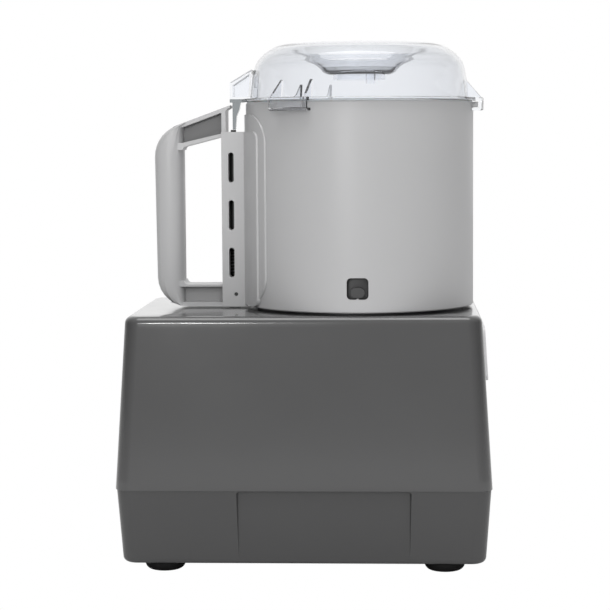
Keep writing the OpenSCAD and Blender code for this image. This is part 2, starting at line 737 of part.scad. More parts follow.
// A part of a turned ring, centred on an angle
module arc_ring(r_in, r_out, z0, z1, mid, wide) {
    rotate([0, 0, mid - wide / 2]) rotate_extrude(angle = wide, $fn = round_fn)
        translate([r_in, z0]) square([r_out - r_in, z1 - z0]);
}
module bowl() color([0.72, 0.72, 0.72]) at_bowl() {
    difference() {
        union() {
            rotate_extrude($fn = 96) bowl_profile();
            for (a = hook_angles)
                arc_ring(bowl_r - bowl_wall / 2, lug_r, rim_z - lug_t - seat_gap, rim_z - seat_gap, a, lug_deg);
        }
        for (a = stud_angles) rotate([0, 0, a]) translate([bowl_r, 0, window_z]) rotate([90, 0, 90])
            linear_extrude(3 * bowl_wall, center = true) rounded_plate(window_w, window_w, window_r);
    }
    for (a = stud_angles) rotate([0, 0, a])
        translate([bowl_in + seat_gap, 0, window_z - window_w / 2 - bump_r / 4]) rotate([0, 90, 0])
            cylinder(r = bump_r, h = bowl_wall - rim_edge, $fn = 24);
}

// Handle: grip, two channel arms and the spine that houses the safety rod
grip_x = bowl_x - grip_out;
grip_in_x = grip_x + grip_t;
spine_x = bowl_x - spine_out;
rod_x = bowl_x - rod_out;
rod_hole_r = 5.1;
arm_tan = tan(arm_slope);
tip_gap = 3.5;
tip_drop = 1.6;
tip_x = bowl_x - hook_r - tip_gap;
arm_tip_z = rim_z - tip_drop;
grip_top_r = 25;
grip_low_r = 22;
grip_steps = 7;
grip_mid_x = grip_x + grip_t / 2;
grip_lean_share = 0.012;
arm_share = 0.88;
arms_w = grip_w * arm_share;
grip_sides = 20;
arm_depth = 21.8;
hole_top_z = arm_tip_z - (tip_x - spine_x) * arm_tan - arm_depth;
low_arm_h = 16.7;
hole_low_z = handle_z + low_arm_h;
hole_slope = 0.23;
hole_r = 3;
low_flange_t = 3;
low_web_z = handle_z + low_flange_t;
// Height of the arm's top edge at a place along x
function arm_top(x) = arm_tip_z - (tip_x - x) * arm_tan;
// Heights of the middle and the end of the curve that rounds the grip into the arm
grip_bend_z = arm_top(grip_x + grip_top_r) - grip_top_r / cos(arm_slope);
grip_join_x = grip_x + grip_top_r * (1 - sin(arm_slope));
grip_join_z = grip_bend_z + grip_top_r * cos(arm_slope);
// Outer edge of the grip at a height: underside curve, leaning edge, upper curve, arm
function grip_edge(z) = grip_lean_share * max(0, grip_bend_z - z) + (
    z > grip_join_z ? tip_x - (arm_tip_z - z) / arm_tan :
    z > grip_bend_z ? grip_x + grip_top_r - sqrt(max(0, pow(grip_top_r, 2) - pow(z - grip_bend_z, 2))) :
    z < handle_z + grip_low_r ?
        grip_x + grip_low_r - sqrt(max(0, pow(grip_low_r, 2) - pow(handle_z + grip_low_r - z, 2))) : grip_x);
// One level section of the grip: an oval with full flanks
oval_power = 0.72;
function oval(x0, x1, w, z) = [
    for (i = [0:grip_sides - 1])
        let (a = 360 * i / grip_sides, c = cos(a), s = sin(a))
        [(x0 + x1) / 2 + (x1 - x0) / 2 * sign(c) * pow(abs(c), oval_power),
         w / 2 * sign(s) * pow(abs(s), oval_power), z]];
grip_heights = concat(
    [for (s = [0:grip_steps]) handle_z + grip_low_r * (1 - cos(90 * s / grip_steps))],
    [for (s = [0:grip_steps]) grip_bend_z + grip_top_r * sin((90 - arm_slope) * s / grip_steps)],
    [arm_top(grip_in_x)]);
module grip() {
    loft([for (z = grip_heights) oval(grip_edge(z), max(grip_in_x, grip_edge(z) + flange_t), grip_w, z)]);
}
module handle_hole() {
    left_top_z = hole_top_z - hole_slope * (spine_x - grip_in_x);
    bend = [for (k = [0:edge_steps]) 90 * k / edge_steps];
    polygon(concat(
        [[grip_mid_x, hole_low_z + hole_r]],
        [for (t = bend) [grip_in_x + hole_r * (1 - cos(t)), hole_low_z + hole_r * (1 - sin(t))]],
        [[spine_x, hole_low_z], [spine_x, hole_top_z]],
        [for (t = bend) [grip_in_x + hole_r * (1 - sin(t)), left_top_z - hole_r * (1 - cos(t))]],
        [[grip_mid_x, left_top_z - hole_r]]));
}
module arms_outline() {
    polygon([[grip_mid_x, handle_z + flange_t], [grip_x + grip_low_r, handle_z],
        [spine_x + flange_t, handle_z], [spine_x + flange_t, arm_top(spine_x + flange_t)],
        [grip_join_x, grip_join_z], [grip_mid_x, grip_join_z - flange_t]]);
}
// Web pockets: the spaces between the flanges of each arm, seen from the side
module pocket(low_a, low_b, high_a, high_b) {
    polygon([[grip_mid_x, low_a], [grip_in_x, low_a], [spine_x, low_b], [spine_x, high_b],
        [grip_in_x, high_a], [grip_mid_x, high_a]]);
}
hole_rise = hole_slope * (spine_x - grip_in_x);
slot_h = 23;
slot_pitch = 36.7;
slot_drop = 27.3;
spine_slots = [for (i = [0:2]) ledge_z - slot_drop - i * slot_pitch];
slot_wide = 4.2;
slot_off = 0.7;
pad_t = 1.2;
pad_low = 2;
pad_drop = 9;
pad_w = 109;
pad_corner_r = 22;
saddle_w = 94;
saddle_corner_r = 6;
post_t = 2.8;
module upper_pocket() {
    pocket(hole_top_z - hole_rise + flange_t * 0.8, hole_top_z + flange_t * 0.8,
        arm_top(grip_in_x) - flange_t, arm_top(spine_x) - flange_t);
}
module lower_pocket() {
    pocket(low_web_z, low_web_z, hole_low_z - flange_t * 0.5, hole_low_z - flange_t * 0.5);
}
module spine_slot(z) {
    translate([rod_x - slot_off, 0, z]) {
        cube([slot_wide, 2 * spine_w, slot_h - slot_wide], center = true);
        for (s = [-1, 1]) translate([0, 0, s * (slot_h - slot_wide) / 2]) rotate([90, 0, 0])
            cylinder(d = slot_wide, h = 2 * spine_w, center = true, $fn = 32);
    }
}
// A plate bent round the bowl, with rounded corners as seen from behind
module saddle(w, z0, z1, r, t) {
    at_bowl() intersection() {
        arc_ring(bowl_r, bowl_r + t, z0 - over, z1 + over, 180, 90);
        translate([0, 0, (z0 + z1) / 2]) rotate([90, 0, -90])
            linear_extrude(2 * bowl_r) rounded_plate(w, z1 - z0, r);
    }
}
module bowl_handle() color([0.72, 0.72, 0.72]) difference() {
    union() {
        grip();
        difference() {
            across(arms_w) arms_outline();
            across(2 * grip_w) handle_hole();
            both_sides() translate([0, grip_w + web_t / 2, 0]) across(2 * grip_w) {
                upper_pocket();
                lower_pocket();
            }
        }
        translate([spine_x, -spine_w / 2, handle_z]) cube([spine_out - bowl_in, spine_w, ledge_z - handle_z]);
        translate([spine_x, -arms_w / 2, ledge_z - over]) cube([post_t, arms_w, arm_top(spine_x) - ledge_z]);
        across(arms_w) polygon([[spine_x, arm_top(spine_x)], [tip_x, arm_tip_z],
            [tip_x, arm_tip_z - flange_t / 2], [spine_x, arm_top(spine_x) - flange_t]]);
        saddle(pad_w, bowl_z + pad_low, rim_z - pad_drop, pad_corner_r, pad_t);
        saddle(saddle_w, handle_z + pad_low, ledge_z, saddle_corner_r, 2 * pad_t);
    }
    at_bowl() rod(bowl_r + seat_gap / 2, handle_z - over, rim_z);
    translate([rod_x, 0, 0]) {
        rod(rod_hole_r, handle_z - over, ledge_z - flange_t);
        rod(tip_d / 2 + slide_gap, handle_z, ledge_z + over);
    }
    for (z = spine_slots) spine_slot(z);
    translate([rod_x + pin_off, 0, pin_z]) rotate([90, 0, 0])
        cylinder(r = pin_r, h = 2 * spine_w, center = true, $fn = 32);
}

// Safety rod with its bush, pin, magnet and spring
pin_rise = 9.5;
pin_z = handle_z + pin_rise;
pin_off = 2.5;
pin_r = 1.5;
bush_sunk = 3.1;
bush_len = 16;
bush_low_z = handle_z + bush_sunk;
bush_top_z = bush_low_z + bush_len;
rod_sunk = 1.3;
rod_low_z = handle_z + rod_sunk;
spring_len = 29;
rod_body_z = bush_top_z + spring_len;
rod_shoulder = 11;
rod_body_top = ledge_z - rod_shoulder;
magnet_r = 2;
magnet_h = 2;
module rod_bush() color([0.9, 0.9, 0.88]) translate([rod_x, 0, 0]) difference() {
    rod(rod_hole_r - shaft_gap, bush_low_z, bush_top_z);
    rod(stem_d / 2 + shaft_gap, bush_low_z - over, bush_top_z + over);
    translate([pin_off, 0, pin_z]) rotate([90, 0, 0]) cylinder(r = pin_r, h = spine_w, center = true, $fn = 32);
}
module rod_pin() color("silver") translate([rod_x + pin_off, 0, pin_z]) rotate([90, 0, 0])
    cylinder(r = pin_r - shaft_gap, h = spine_w - over, center = true, $fn = 32);
module safety_rod() color([0.08, 0.08, 0.08]) translate([rod_x, 0, 0]) difference() {
    union() {
        rod(stem_d / 2, rod_low_z, rod_body_z + over);
        rod(rod_d / 2, rod_body_z, rod_body_top);
        rod(tip_d / 2, rod_body_top - over, ledge_z + tip_h);
    }
    translate([pin_off - pin_r - slide_gap, -stem_d, pin_z - pin_r - slide_gap - rod_travel])
        cube([stem_d, 2 * stem_d, rod_travel + 2 * pin_r + 2 * slide_gap]);
    rod(magnet_r, rod_low_z - over, rod_low_z + magnet_h);
}
module rod_magnet() color([0.6, 0.6, 0.62]) translate([rod_x, 0, 0])
    rod(magnet_r - shaft_gap, rod_low_z, rod_low_z + magnet_h - shaft_gap);
// The spring is one unbroken tube along a helix, with its ends closed up flat
coil_rings = 8;
coil_sides = 6;
coil_low = bush_top_z + seat_gap / 2 + spring_wire / 2;
coil_high = rod_body_z - seat_gap / 2 - spring_wire / 2;
function coil_height(t) = coil_low + (coil_high - coil_low) * t;
function coil_ring(k) =
    let (t = k / (coil_rings * spring_turns),
         a = 360 * spring_turns * t,
         z = coil_height(t))
    [for (i = [0:coil_sides - 1])
        let (b = -360 * i / coil_sides,
             r = spring_d / 2 + spring_wire / 2 * cos(b))
        [r * cos(a), r * sin(a), z + spring_wire / 2 * sin(b)]];
echo(least_gap_between_turns = (coil_high - coil_low) / spring_turns - spring_wire);
module rod_spring() color([0.5, 0.5, 0.52]) translate([rod_x, 0, 0])
    loft([for (k = [0:coil_rings * spring_turns]) coil_ring(k)]);

// Lid seal: a flat ring between the bowl's rim and the lid's flange
seal_low = rim_z + seat_gap / 2;
seal_out_r = bowl_r - rim_edge - slide_gap;
seal_in_r = bowl_in + slide_gap;
module lid_seal() color([0.85, 0.85, 0.83]) at_bowl() tube(seal_out_r, seal_in_r, seal_low, seal_low + seal_t);

// Lid: a clear turned dome with a funnel in its crown, three hooks and an ear
lid_z = rim_z + turn_gap;
lid_top_z = lid_z + lid_flange_t;
spigot_drop = 6;
lid_spigot_r = bowl_in - turn_gap - slide_gap;
// Places along the dome, from the flange to the middle of the funnel, as
// shares of the dome's radius and of the crown's height
dome_shares = [[1, 0], [0.983, 0.346], [0.97, 0.49], [0.954, 0.618], [0.925, 0.711], [0.884, 0.803],
    [0.823, 0.893], [0.76, 0.952], [0.67, 0.992], [0.6, 0.985], [0.53, 0.925], [0.46, 0.8],
    [0.365, 0.64], [0.33, 0.57], [0.29, 0.515], [0.23, 0.5], [0, 0.5]];
curve_steps = 3;
function spline(a, b, c, d, t) = 0.5 * (2 * b + (c - a) * t + (2 * a - 5 * b + 4 * c - d) * t * t
    + (3 * b - a - 3 * c + d) * t * t * t);
function dome_point(s) = [dome_r * s[0], lid_top_z + dome_h * s[1]];
dome_n = len(dome_shares);
dome_line = [for (i = [0:dome_n - 2]) for (k = [0:curve_steps - 1])
    spline(dome_point(dome_shares[max(0, i - 1)]), dome_point(dome_shares[i]), dome_point(dome_shares[i + 1]),
        dome_point(dome_shares[min(dome_n - 1, i + 2)]), k / curve_steps)];
// The inner face lies one wall inside the outer line
function unit(v) = v / norm(v);
dome_inner = [for (i = [0:len(dome_line) - 2])
    let (t = unit(dome_line[i + 1] - dome_line[max(0, i - 1)]))
    dome_line[i] + lid_wall * [-t[1], t[0]]];
module lid_profile() {
    inner_r = dome_inner[0][0];
    polygon(concat(
        dome_line, [[0, lid_top_z + dome_h * dome_shares[dome_n - 1][1]]],
        [[0, dome_inner[len(dome_inner) - 1][1]]],
        [for (i = [len(dome_inner) - 1:-1:0]) dome_inner[i]],
        [[inner_r, lid_z - spigot_drop], [lid_spigot_r, lid_z - spigot_drop], [lid_spigot_r, lid_z + seal_t],
         [seal_out_r + seat_gap, lid_z + seal_t], [seal_out_r + seat_gap, lid_z], [flange_r, lid_z],
         [flange_r, lid_top_z]]));
}
hook_ease_deg = 9.4;
hook_deg = lid_turn_deg - hook_ease_deg;
hook_web_t = 2.1;
toe_t = 2;
hook_z = lid_z - hook_drop;
gusset_t = 2;
gusset_h = 13;
module gusset(a) {
    rotate([0, 0, a]) across(gusset_t) polygon([[dome_r - lid_wall, lid_top_z - over],
        [hook_r - over, lid_top_z - over], [hook_r - over, lid_top_z + over / 2],
        [dome_r - over, lid_top_z + gusset_h], [dome_r - lid_wall, lid_top_z + gusset_h]]);
}
module lid_hook(a) {
    arc_ring(flange_r - over, hook_r, lid_z, lid_top_z, a, hook_deg);
    arc_ring(hook_r - hook_web_t, hook_r, hook_z, lid_z + over, a, hook_deg);
    arc_ring(bowl_r + slide_gap, hook_r, hook_z, hook_z + toe_t, a, hook_deg);
    for (s = [-1, 1]) gusset(a + s * (hook_deg / 2 - 1));
}
ear_stand = 11.6;
ear_out = bowl_r + ear_stand;
ear_h = 13;
ear_rise = 9.8;
// The finger: its width, and its outer and inner faces beyond the bowl's outside
finger_w = 8;
finger_out = 10.4;
finger_top_in = 4.8;
finger_foot_in = 7.9;
finger_top = [bowl_r + finger_out, bowl_r + finger_top_in];
finger_foot = [bowl_r + finger_out, bowl_r + finger_foot_in];
// Its underside slopes up towards the side that meets the rod as the lid turns
cam_start = -1.5;
cam_slope = 0.2;
clip_r = 3.2;
clip_w = 4;
module ear() {
    rotate([0, 0, 180]) across(ear_w) polygon([[dome_r - lid_wall, lid_top_z - over],
        [flange_r - over, lid_top_z - over], [flange_r - over, lid_z], [ear_out - over, lid_z], [ear_out, lid_top_z],
        [ear_out, lid_top_z + ear_h],
        [dome_r - 2 * over, lid_top_z + ear_h + ear_rise]]);
}
// The ear is open towards the inside of the dome
module ear_hollow() {
    rotate([0, 0, 180]) across(ear_w - 2 * lid_wall) polygon([[dome_r - 2 * lid_wall, lid_top_z],
        [ear_out - lid_wall, lid_top_z], [ear_out - lid_wall, lid_top_z + ear_h - lid_wall],
        [dome_r - 2 * lid_wall, lid_top_z + ear_h + ear_rise - 2 * lid_wall]]);
}
module finger() difference() {
    foot_z = ledge_z + tip_h + seat_gap;
    rotate([0, 0, 180]) across(finger_w) polygon([[finger_top[0], lid_z + over], [finger_foot[0], foot_z],
        [finger_foot[1], foot_z], [(finger_top[1] + 2 * finger_foot[1]) / 3, (lid_z + foot_z) / 2],
        [finger_top[1], lid_z - spigot_drop], [finger_top[1] - 2 * over, lid_z + over]]);
    translate([-ear_out, 0, 0]) rotate([90, 0, 90]) linear_extrude(2 * ear_stand)
        polygon([[cam_start, foot_z - over], [cam_start, foot_z],
            [finger_w, foot_z + cam_slope * (finger_w - cam_start)], [finger_w, foot_z - over]]);
}
funnel_floor = lid_top_z + dome_h * dome_shares[dome_n - 1][1] - lid_wall;
collar_r = 20;
collar_drop = 4;
post_drop = 7.5;
module lid() color([0.86, 0.9, 0.92, 0.45]) at_bowl() {
    difference() {
        union() {
            rotate_extrude($fn = 96) lid_profile();
            for (a = hook_angles) lid_hook(a);
            ear();
            finger();
        }
        ear_hollow();
    }
    tube(collar_r, collar_r - lid_wall, funnel_floor - collar_drop, funnel_floor + over);
    rotate([0, 0, -65]) translate([collar_r - lid_wall / 2, 0, 0])
        translate([-lid_wall / 2, -collar_drop, funnel_floor - post_drop])
            cube([lid_wall, 2 * collar_drop, post_drop + over / 2]);
    for (s = [-1, 1]) rotate([0, 0, 180])
        translate([clip_r + bowl_r + over, s * (ear_w / 2 - lid_wall), lid_z - clip_r + over])
        rotate([90, 0, 0]) difference() {
            cylinder(r = clip_r, h = clip_w, center = true, $fn = 32);
            cylinder(r = clip_r / 2, h = 2 * clip_w, center = true, $fn = 32);
        }
}

// Cutter: a hub over the shaft tube, two sickle blades and a cap
hub_foot_gap = 1.2;
hub_play = 0.6;
hub_head_gap = 1.5;
blade_rise = 3;
blade_pitch = 34;
hub_low_z = bowl_floor_z + hub_foot_gap;
hub_bore_r = tube_r + hub_play;
hub_bore_z = tube_z + hub_head_gap;
lower_blade_z = bowl_floor_z + blade_rise;
upper_blade_z = lower_blade_z + blade_pitch;
blade_collar = 5;
cap_h = 5;
hub_waist_share = 0.82;
module hub_form() {
    rotate_extrude($fn = round_fn) polygon([[0, hub_low_z], [hub_r, hub_low_z],
        [hub_r, upper_blade_z + blade_t + blade_collar], [hub_r * hub_waist_share, upper_blade_z + 3 * blade_collar],
        [hub_top_r, hub_z - cap_h], [0, hub_z - cap_h]]);
}
module d_hole(gap) {
    intersection() {
        rod(shaft_d / 2 + gap, hub_bore_z - over, shaft_z + seat_gap);
        translate([-shaft_d, -shaft_d, 0]) cube([shaft_d + shaft_d / 2 * flat_share + gap, 2 * shaft_d, 2 * shaft_z]);
    }
}
module cutter_hub() color([0.12, 0.12, 0.12]) at_bowl() difference() {
    hub_form();
    rod(hub_bore_r, hub_low_z - over, hub_bore_z);
    d_hole(shaft_gap * 2);
    blade_slot(lower_blade_z, 0);
    blade_slot(upper_blade_z, 180);
}
module blade_slot(z, turn) {
    rotate([0, 0, turn]) translate([0, 0, z]) linear_extrude(blade_t) blade_plan();
}
// A blade in plan: the crescent between two circles, ending at the tip radius
blade_outer_r = blade_r / 2 + blade_w * 0.55;
blade_inner_r = blade_r / 2 + blade_w * 0.2;
module blade_plan() {
    intersection() {
        difference() {
            translate([blade_r / 2 + over, blade_r * 0.06]) circle(blade_outer_r, $fn = round_fn);
            translate([blade_r / 2 + blade_w * 0.4, -blade_w]) circle(blade_inner_r, $fn = round_fn);
        }
        circle(blade_r, $fn = 96);
        translate([0, -blade_w / 3]) square([blade_r, 2 * blade_r]);
    }
    circle(hub_r - blade_collar / 2, $fn = round_fn);
}
module blade(z, turn) {
    rotate([0, 0, turn]) translate([0, 0, z]) difference() {
        linear_extrude(blade_t) blade_plan();
        translate([0, 0, -over]) cylinder(r = hub_bore_r, h = 3 * blade_t, $fn = round_fn);
    }
}
module lower_blade() color([0.85, 0.86, 0.87]) at_bowl() blade(lower_blade_z, 0);
module upper_blade() color([0.85, 0.86, 0.87]) at_bowl() blade(upper_blade_z, 180);
module cutter_cap() color([0.2, 0.2, 0.2]) at_bowl() rotate_extrude($fn = round_fn)
    polygon([[0, hub_z - cap_h], [hub_top_r, hub_z - cap_h], [hub_top_r, hub_z - cap_h / 2],
        [hub_top_r - cap_h / 2, hub_z], [0, hub_z]]);

base_housing();
base_tray();
rubber_feet();
foot_screws();
tray_screws();
cord_bush();
control_panel();
start_button();
stop_button();
pulse_button();
switch_block();
power_board();
start_capacitor();
capacitor_clip();
interlock_switch();
bowl_seat();
seat_screws();
shaft_seal();
motor_top_bell();
motor_stator();
motor_windings();
motor_bottom_bell();
motor_tie_bolts();
shaft_bearings();
motor_shaft();
motor_rotor();
cooling_fan();
bowl();
bowl_handle();
rod_bush();
rod_pin();
safety_rod();
rod_magnet();
rod_spring();
lid_seal();
lid();
cutter_hub();
lower_blade();
upper_blade();
cutter_cap();
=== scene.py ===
# %% [markdown]
# # Dressing a commercial food processor
#
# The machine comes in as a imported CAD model: a motor base, a bowl with a side
# handle, a clear lid and a cutter, each on its own body. This lesson keeps all
# of its sizes. It gives the pieces their finishes, remakes the ones whose
# smooth skin matters most, and photographs the whole on a white sweep.

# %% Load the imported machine
import math

import bpy
import numpy as np
from mathutils import Matrix


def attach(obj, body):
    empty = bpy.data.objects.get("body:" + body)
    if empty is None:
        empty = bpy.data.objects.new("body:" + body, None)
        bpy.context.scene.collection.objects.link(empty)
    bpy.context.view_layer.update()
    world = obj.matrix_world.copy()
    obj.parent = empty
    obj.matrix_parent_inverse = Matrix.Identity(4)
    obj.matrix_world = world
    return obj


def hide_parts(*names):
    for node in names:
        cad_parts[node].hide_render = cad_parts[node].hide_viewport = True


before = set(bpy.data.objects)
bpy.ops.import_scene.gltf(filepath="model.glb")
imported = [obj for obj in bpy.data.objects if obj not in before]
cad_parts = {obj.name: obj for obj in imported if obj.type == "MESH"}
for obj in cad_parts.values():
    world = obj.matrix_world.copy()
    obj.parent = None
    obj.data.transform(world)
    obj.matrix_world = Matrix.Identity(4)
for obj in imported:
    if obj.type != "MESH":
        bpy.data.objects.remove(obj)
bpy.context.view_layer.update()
MM = 0.001

# %% [markdown]
# ## The camera
#
# The photograph was taken from in front of the machine's long side with a long
# lens, a little below the height of the lid: the underside of the lid's flange
# shows, and so does a thin sliver of the base's top. The lens and the place
# were worked out from the base's known length, and the camera is turned a few
# degrees to the left and down so that the machine sits in the frame as it does
# there. A camera's own axes are the columns of its rotation: right, up and
# backwards.

# %% Set the camera
CAMERA_PLACE = (72.4 * MM, -1492.2 * MM, 321.6 * MM)
CAMERA_LENS = 113.1
CAMERA_YAW = 2.867
CAMERA_PITCH = 4.948
CAMERA_ROLL = 0.372
CAMERA_SENSOR = 36
CAMERA_CLIP = 0.05


def camera_axes(yaw, pitch, roll):
    """Forward is +Y turned by yaw about Z and dipped by pitch; the roll turns right and up about it."""
    sy, cy, sp, cp = math.sin(yaw), math.cos(yaw), math.sin(pitch), math.cos(pitch)
    right = np.array([cy, sy, 0])
    forward = np.array([-sy * cp, cy * cp, -sp])
    up = np.cross(right, forward)
    turned_right = right * math.cos(roll) - up * math.sin(roll)
    turned_up = right * math.sin(roll) + up * math.cos(roll)
    return np.stack([turned_right, turned_up, -forward], axis=1)


camera_data = bpy.data.cameras.new("product_camera")
camera_data.lens = CAMERA_LENS
camera_data.sensor_width = CAMERA_SENSOR
camera_data.clip_start = CAMERA_CLIP
camera = bpy.data.objects.new("product_camera", camera_data)
bpy.context.scene.collection.objects.link(camera)
pose = np.eye(4)
pose[:3, :3] = camera_axes(*(math.radians(a) for a in (CAMERA_YAW, CAMERA_PITCH, CAMERA_ROLL)))
pose[:3, 3] = CAMERA_PLACE
camera.matrix_world = Matrix(pose.tolist())
bpy.context.scene.camera = camera
print("camera at", CAMERA_PLACE, "lens", CAMERA_LENS)

# %% [markdown]
# ## Light and floor
#
# A packshot like this is lit by a white sweep behind, a broad soft box above
# and in front, and nothing at the sides, so upright corners go darker and
# glancing edges pick up the white behind. The world does most of it: its
# brightness depends on the direction that a ray leaves in. Where the camera
# looks straight past the machine, or through the lid, it sees plain white.

# %% World: a white sweep, dark at the sides
SWEEP_BACK = 1.12
SWEEP_FRONT = 0.5
SWEEP_SIDE = 0.09
SWEEP_TOP = 0.9


def new_node(tree, kind, place=(0, 0), **values):
    """A node of a kind, with its properties or input values set by name."""
    node = tree.nodes.new(kind)
    node.location = place
    for name, value in values.items():
        if hasattr(node, name):
            setattr(node, name, value)
        else:
            node.inputs[name.replace("_", " ")].default_value = value
    return node


def chain(tree, *pairs):
    """Joins outputs to inputs: each pair is (node, output name or number, node, input name or number)."""
    for a, out, b, into in pairs:
        tree.links.new(a.outputs[out], b.inputs[into])


world = bpy.data.worlds.new("studio")
bpy.context.scene.world = world
world.use_nodes = True
world_tree = world.node_tree
world_tree.nodes.clear()
direction = new_node(world_tree, "ShaderNodeTexCoord")
split = new_node(world_tree, "ShaderNodeSeparateXYZ")
chain(world_tree, (direction, "Generated", split, 0))


def squared(tree, source, output):
    """A node that multiplies an output by itself."""
    node = new_node(tree, "ShaderNodeMath", operation="MULTIPLY")
    chain(tree, (source, output, node, 0), (source, output, node, 1))
    return node


def scaled(tree, source, output, factor):
    """A node that multiplies an output by a number."""
    node = new_node(tree, "ShaderNodeMath", operation="MULTIPLY")
    node.inputs[1].default_value = factor
    chain(tree, (source, output, node, 0))
    return node


def added(tree, a, b):
    """A node that adds the first outputs of two nodes."""
    node = new_node(tree, "ShaderNodeMath", operation="ADD")
    chain(tree, (a, 0, node, 0), (b, 0, node, 1))
    return node


# The squares of a direction's parts add up to one, so they share out the four
# brightnesses; the sign of Y picks the back or the front.
side = scaled(world_tree, squared(world_tree, split, "X"), 0, SWEEP_SIDE)
top = scaled(world_tree, squared(world_tree, split, "Z"), 0, SWEEP_TOP)
y_squared = squared(world_tree, split, "Y")
behind = new_node(world_tree, "ShaderNodeMath", operation="GREATER_THAN")
behind.inputs[1].default_value = 0
chain(world_tree, (split, "Y", behind, 0))
depth = new_node(world_tree, "ShaderNodeMapRange")
depth.inputs["To Min"].default_value = SWEEP_FRONT
depth.inputs["To Max"].default_value = SWEEP_BACK
chain(world_tree, (behind, 0, depth, "Value"))
ahead = new_node(world_tree, "ShaderNodeMath", operation="MULTIPLY")
chain(world_tree, (y_squared, 0, ahead, 0), (depth, 0, ahead, 1))
glow = added(world_tree, added(world_tree, side, top), ahead)
path = new_node(world_tree, "ShaderNodeLightPath")
seen = new_node(world_tree, "ShaderNodeMix", data_type="FLOAT")
seen.inputs["B"].default_value = 1.0
plain = new_node(world_tree, "ShaderNodeMath", operation="MAXIMUM")
chain(world_tree, (path, "Is Camera Ray", plain, 0), (path, "Is Transmission Ray", plain, 1),
      (plain, 0, seen, "Factor"), (glow, 0, seen, "A"))
background = new_node(world_tree, "ShaderNodeBackground", Color=(1, 1, 1, 1))
world_out = new_node(world_tree, "ShaderNodeOutputWorld")
chain(world_tree, (seen, 0, background, "Strength"), (background, 0, world_out, 0))
scene = bpy.context.scene
scene.view_settings.view_transform = "Standard"
scene.view_settings.look = "None"
print("world brightness: back", SWEEP_BACK, "front", SWEEP_FRONT, "sides", SWEEP_SIDE, "top", SWEEP_TOP)

# %% [markdown]
# The floor is a pale sheet that shows plain white to the camera and still
# throws soft light up at the machine. Two soft boxes model the forms. The one
# in front is kept out of gloss and out of the lid, where it would show as a
# white patch. A narrow strip at the left does the reverse: it is hidden from
# diffuse light, and its reflection draws the bright line along the base's
# upper edge.

# %% Floor


def mesh_object(name, points, faces, smooth=40):
    """A mesh from points and lists of face corners, smooth where faces turn by under `smooth` degrees."""
    mesh = bpy.data.meshes.new(name)
    mesh.from_pydata([tuple(p) for p in np.asarray(points, float).tolist()], [], [list(f) for f in faces])
    mesh.validate()
    if smooth:
        mesh.shade_smooth()
        mesh.set_sharp_from_angle(angle=math.radians(smooth))
    thing = bpy.data.objects.new(name, mesh)
    bpy.context.scene.collection.objects.link(thing)
    return thing


FLOOR_HALF = 6.0
FLOOR_CORNERS = np.array([[-1, -1, 0], [1, -1, 0], [1, 1, 0], [-1, 1, 0]])
floor = mesh_object("floor", FLOOR_CORNERS * FLOOR_HALF, [[0, 1, 2, 3]])
floor_look = bpy.data.materials.new("pale_floor")
floor_look.use_nodes = True
floor_tree = floor_look.node_tree
floor_tree.nodes.clear()
floor_path = new_node(floor_tree, "ShaderNodeLightPath")
floor_diffuse = new_node(floor_tree, "ShaderNodeBsdfDiffuse", Color=(0.8, 0.8, 0.8, 1))
floor_glow = new_node(floor_tree, "ShaderNodeEmission", Strength=1.0)
floor_mix = new_node(floor_tree, "ShaderNodeMixShader")
floor_out = new_node(floor_tree, "ShaderNodeOutputMaterial")
chain(floor_tree, (floor_path, "Is Camera Ray", floor_mix, 0), (floor_diffuse, 0, floor_mix, 1),
      (floor_glow, 0, floor_mix, 2), (floor_mix, 0, floor_out, 0))
floor.data.materials.append(floor_look)
print("floor", FLOOR_HALF * 2, "m wide")

# %% Soft boxes and a strip
LIGHTS = {  # place, aim and size in metres, power in watts, and the rays that don't see it
    "box_above": ((0.0, -0.35, 1.5), (0.03, 0, 0.3), (1.1, 0.8), 9, ("transmission",)),
    "box_front": ((0.1, -2.2, 1.0), (0.03, 0, 0.2), (1.2, 1.0), 14, ("glossy", "transmission")),
    "strip_left": ((-0.25, -1.35, 0.47), (-0.09, -0.1, 0.19), (0.2, 0.04), 2.5, ("diffuse",)),
}


def soft_box(name, place, aim, size, power):
    """A rectangular area light at a place, turned so that its -Z looks at the aim point."""
    light = bpy.data.lights.new(name, "AREA")
    light.shape = "RECTANGLE"
    light.size, light.size_y = size
    light.energy = power
    thing = bpy.data.objects.new(name, light)
    back = np.array(place, float) - np.array(aim, float)
    back /= np.linalg.norm(back)
    right = np.cross([0, 1, 0] if abs(back[2]) > 0.95 else [0, 0, 1], back)
    right /= np.linalg.norm(right)
    turn = np.eye(4)
    turn[:3] = np.stack([right, np.cross(back, right), back, place], axis=1)
    thing.matrix_world = Matrix(turn.tolist())
    bpy.context.scene.collection.objects.link(thing)
    return thing


for light_name, (place, aim, size, power, blind_rays) in LIGHTS.items():
    light_box = soft_box(light_name, place, aim, size, power)
    for ray in blind_rays:
        setattr(light_box, "visible_" + ray, False)
print("lights", list(LIGHTS))

# %% [markdown]
# ## Finishes
#
# Most of this machine is moulded plastic. A plastic skin is never one flat
# colour: it carries a fine spark texture from the mould, slow changes of gloss
# where hands and cloths go, and rounded edges that wear lighter. These three
# effects are node groups, built once and placed in each material with its own
# values. They read Object coordinates, which are metres here, so a scale of
# 900 is a grain of about a millimetre.

# %% Shared effects as node groups
NOISE_LOW, NOISE_HIGH = 0.3, 0.7
FLAT_TURN, SHARP_TURN = 0.995, 0.85


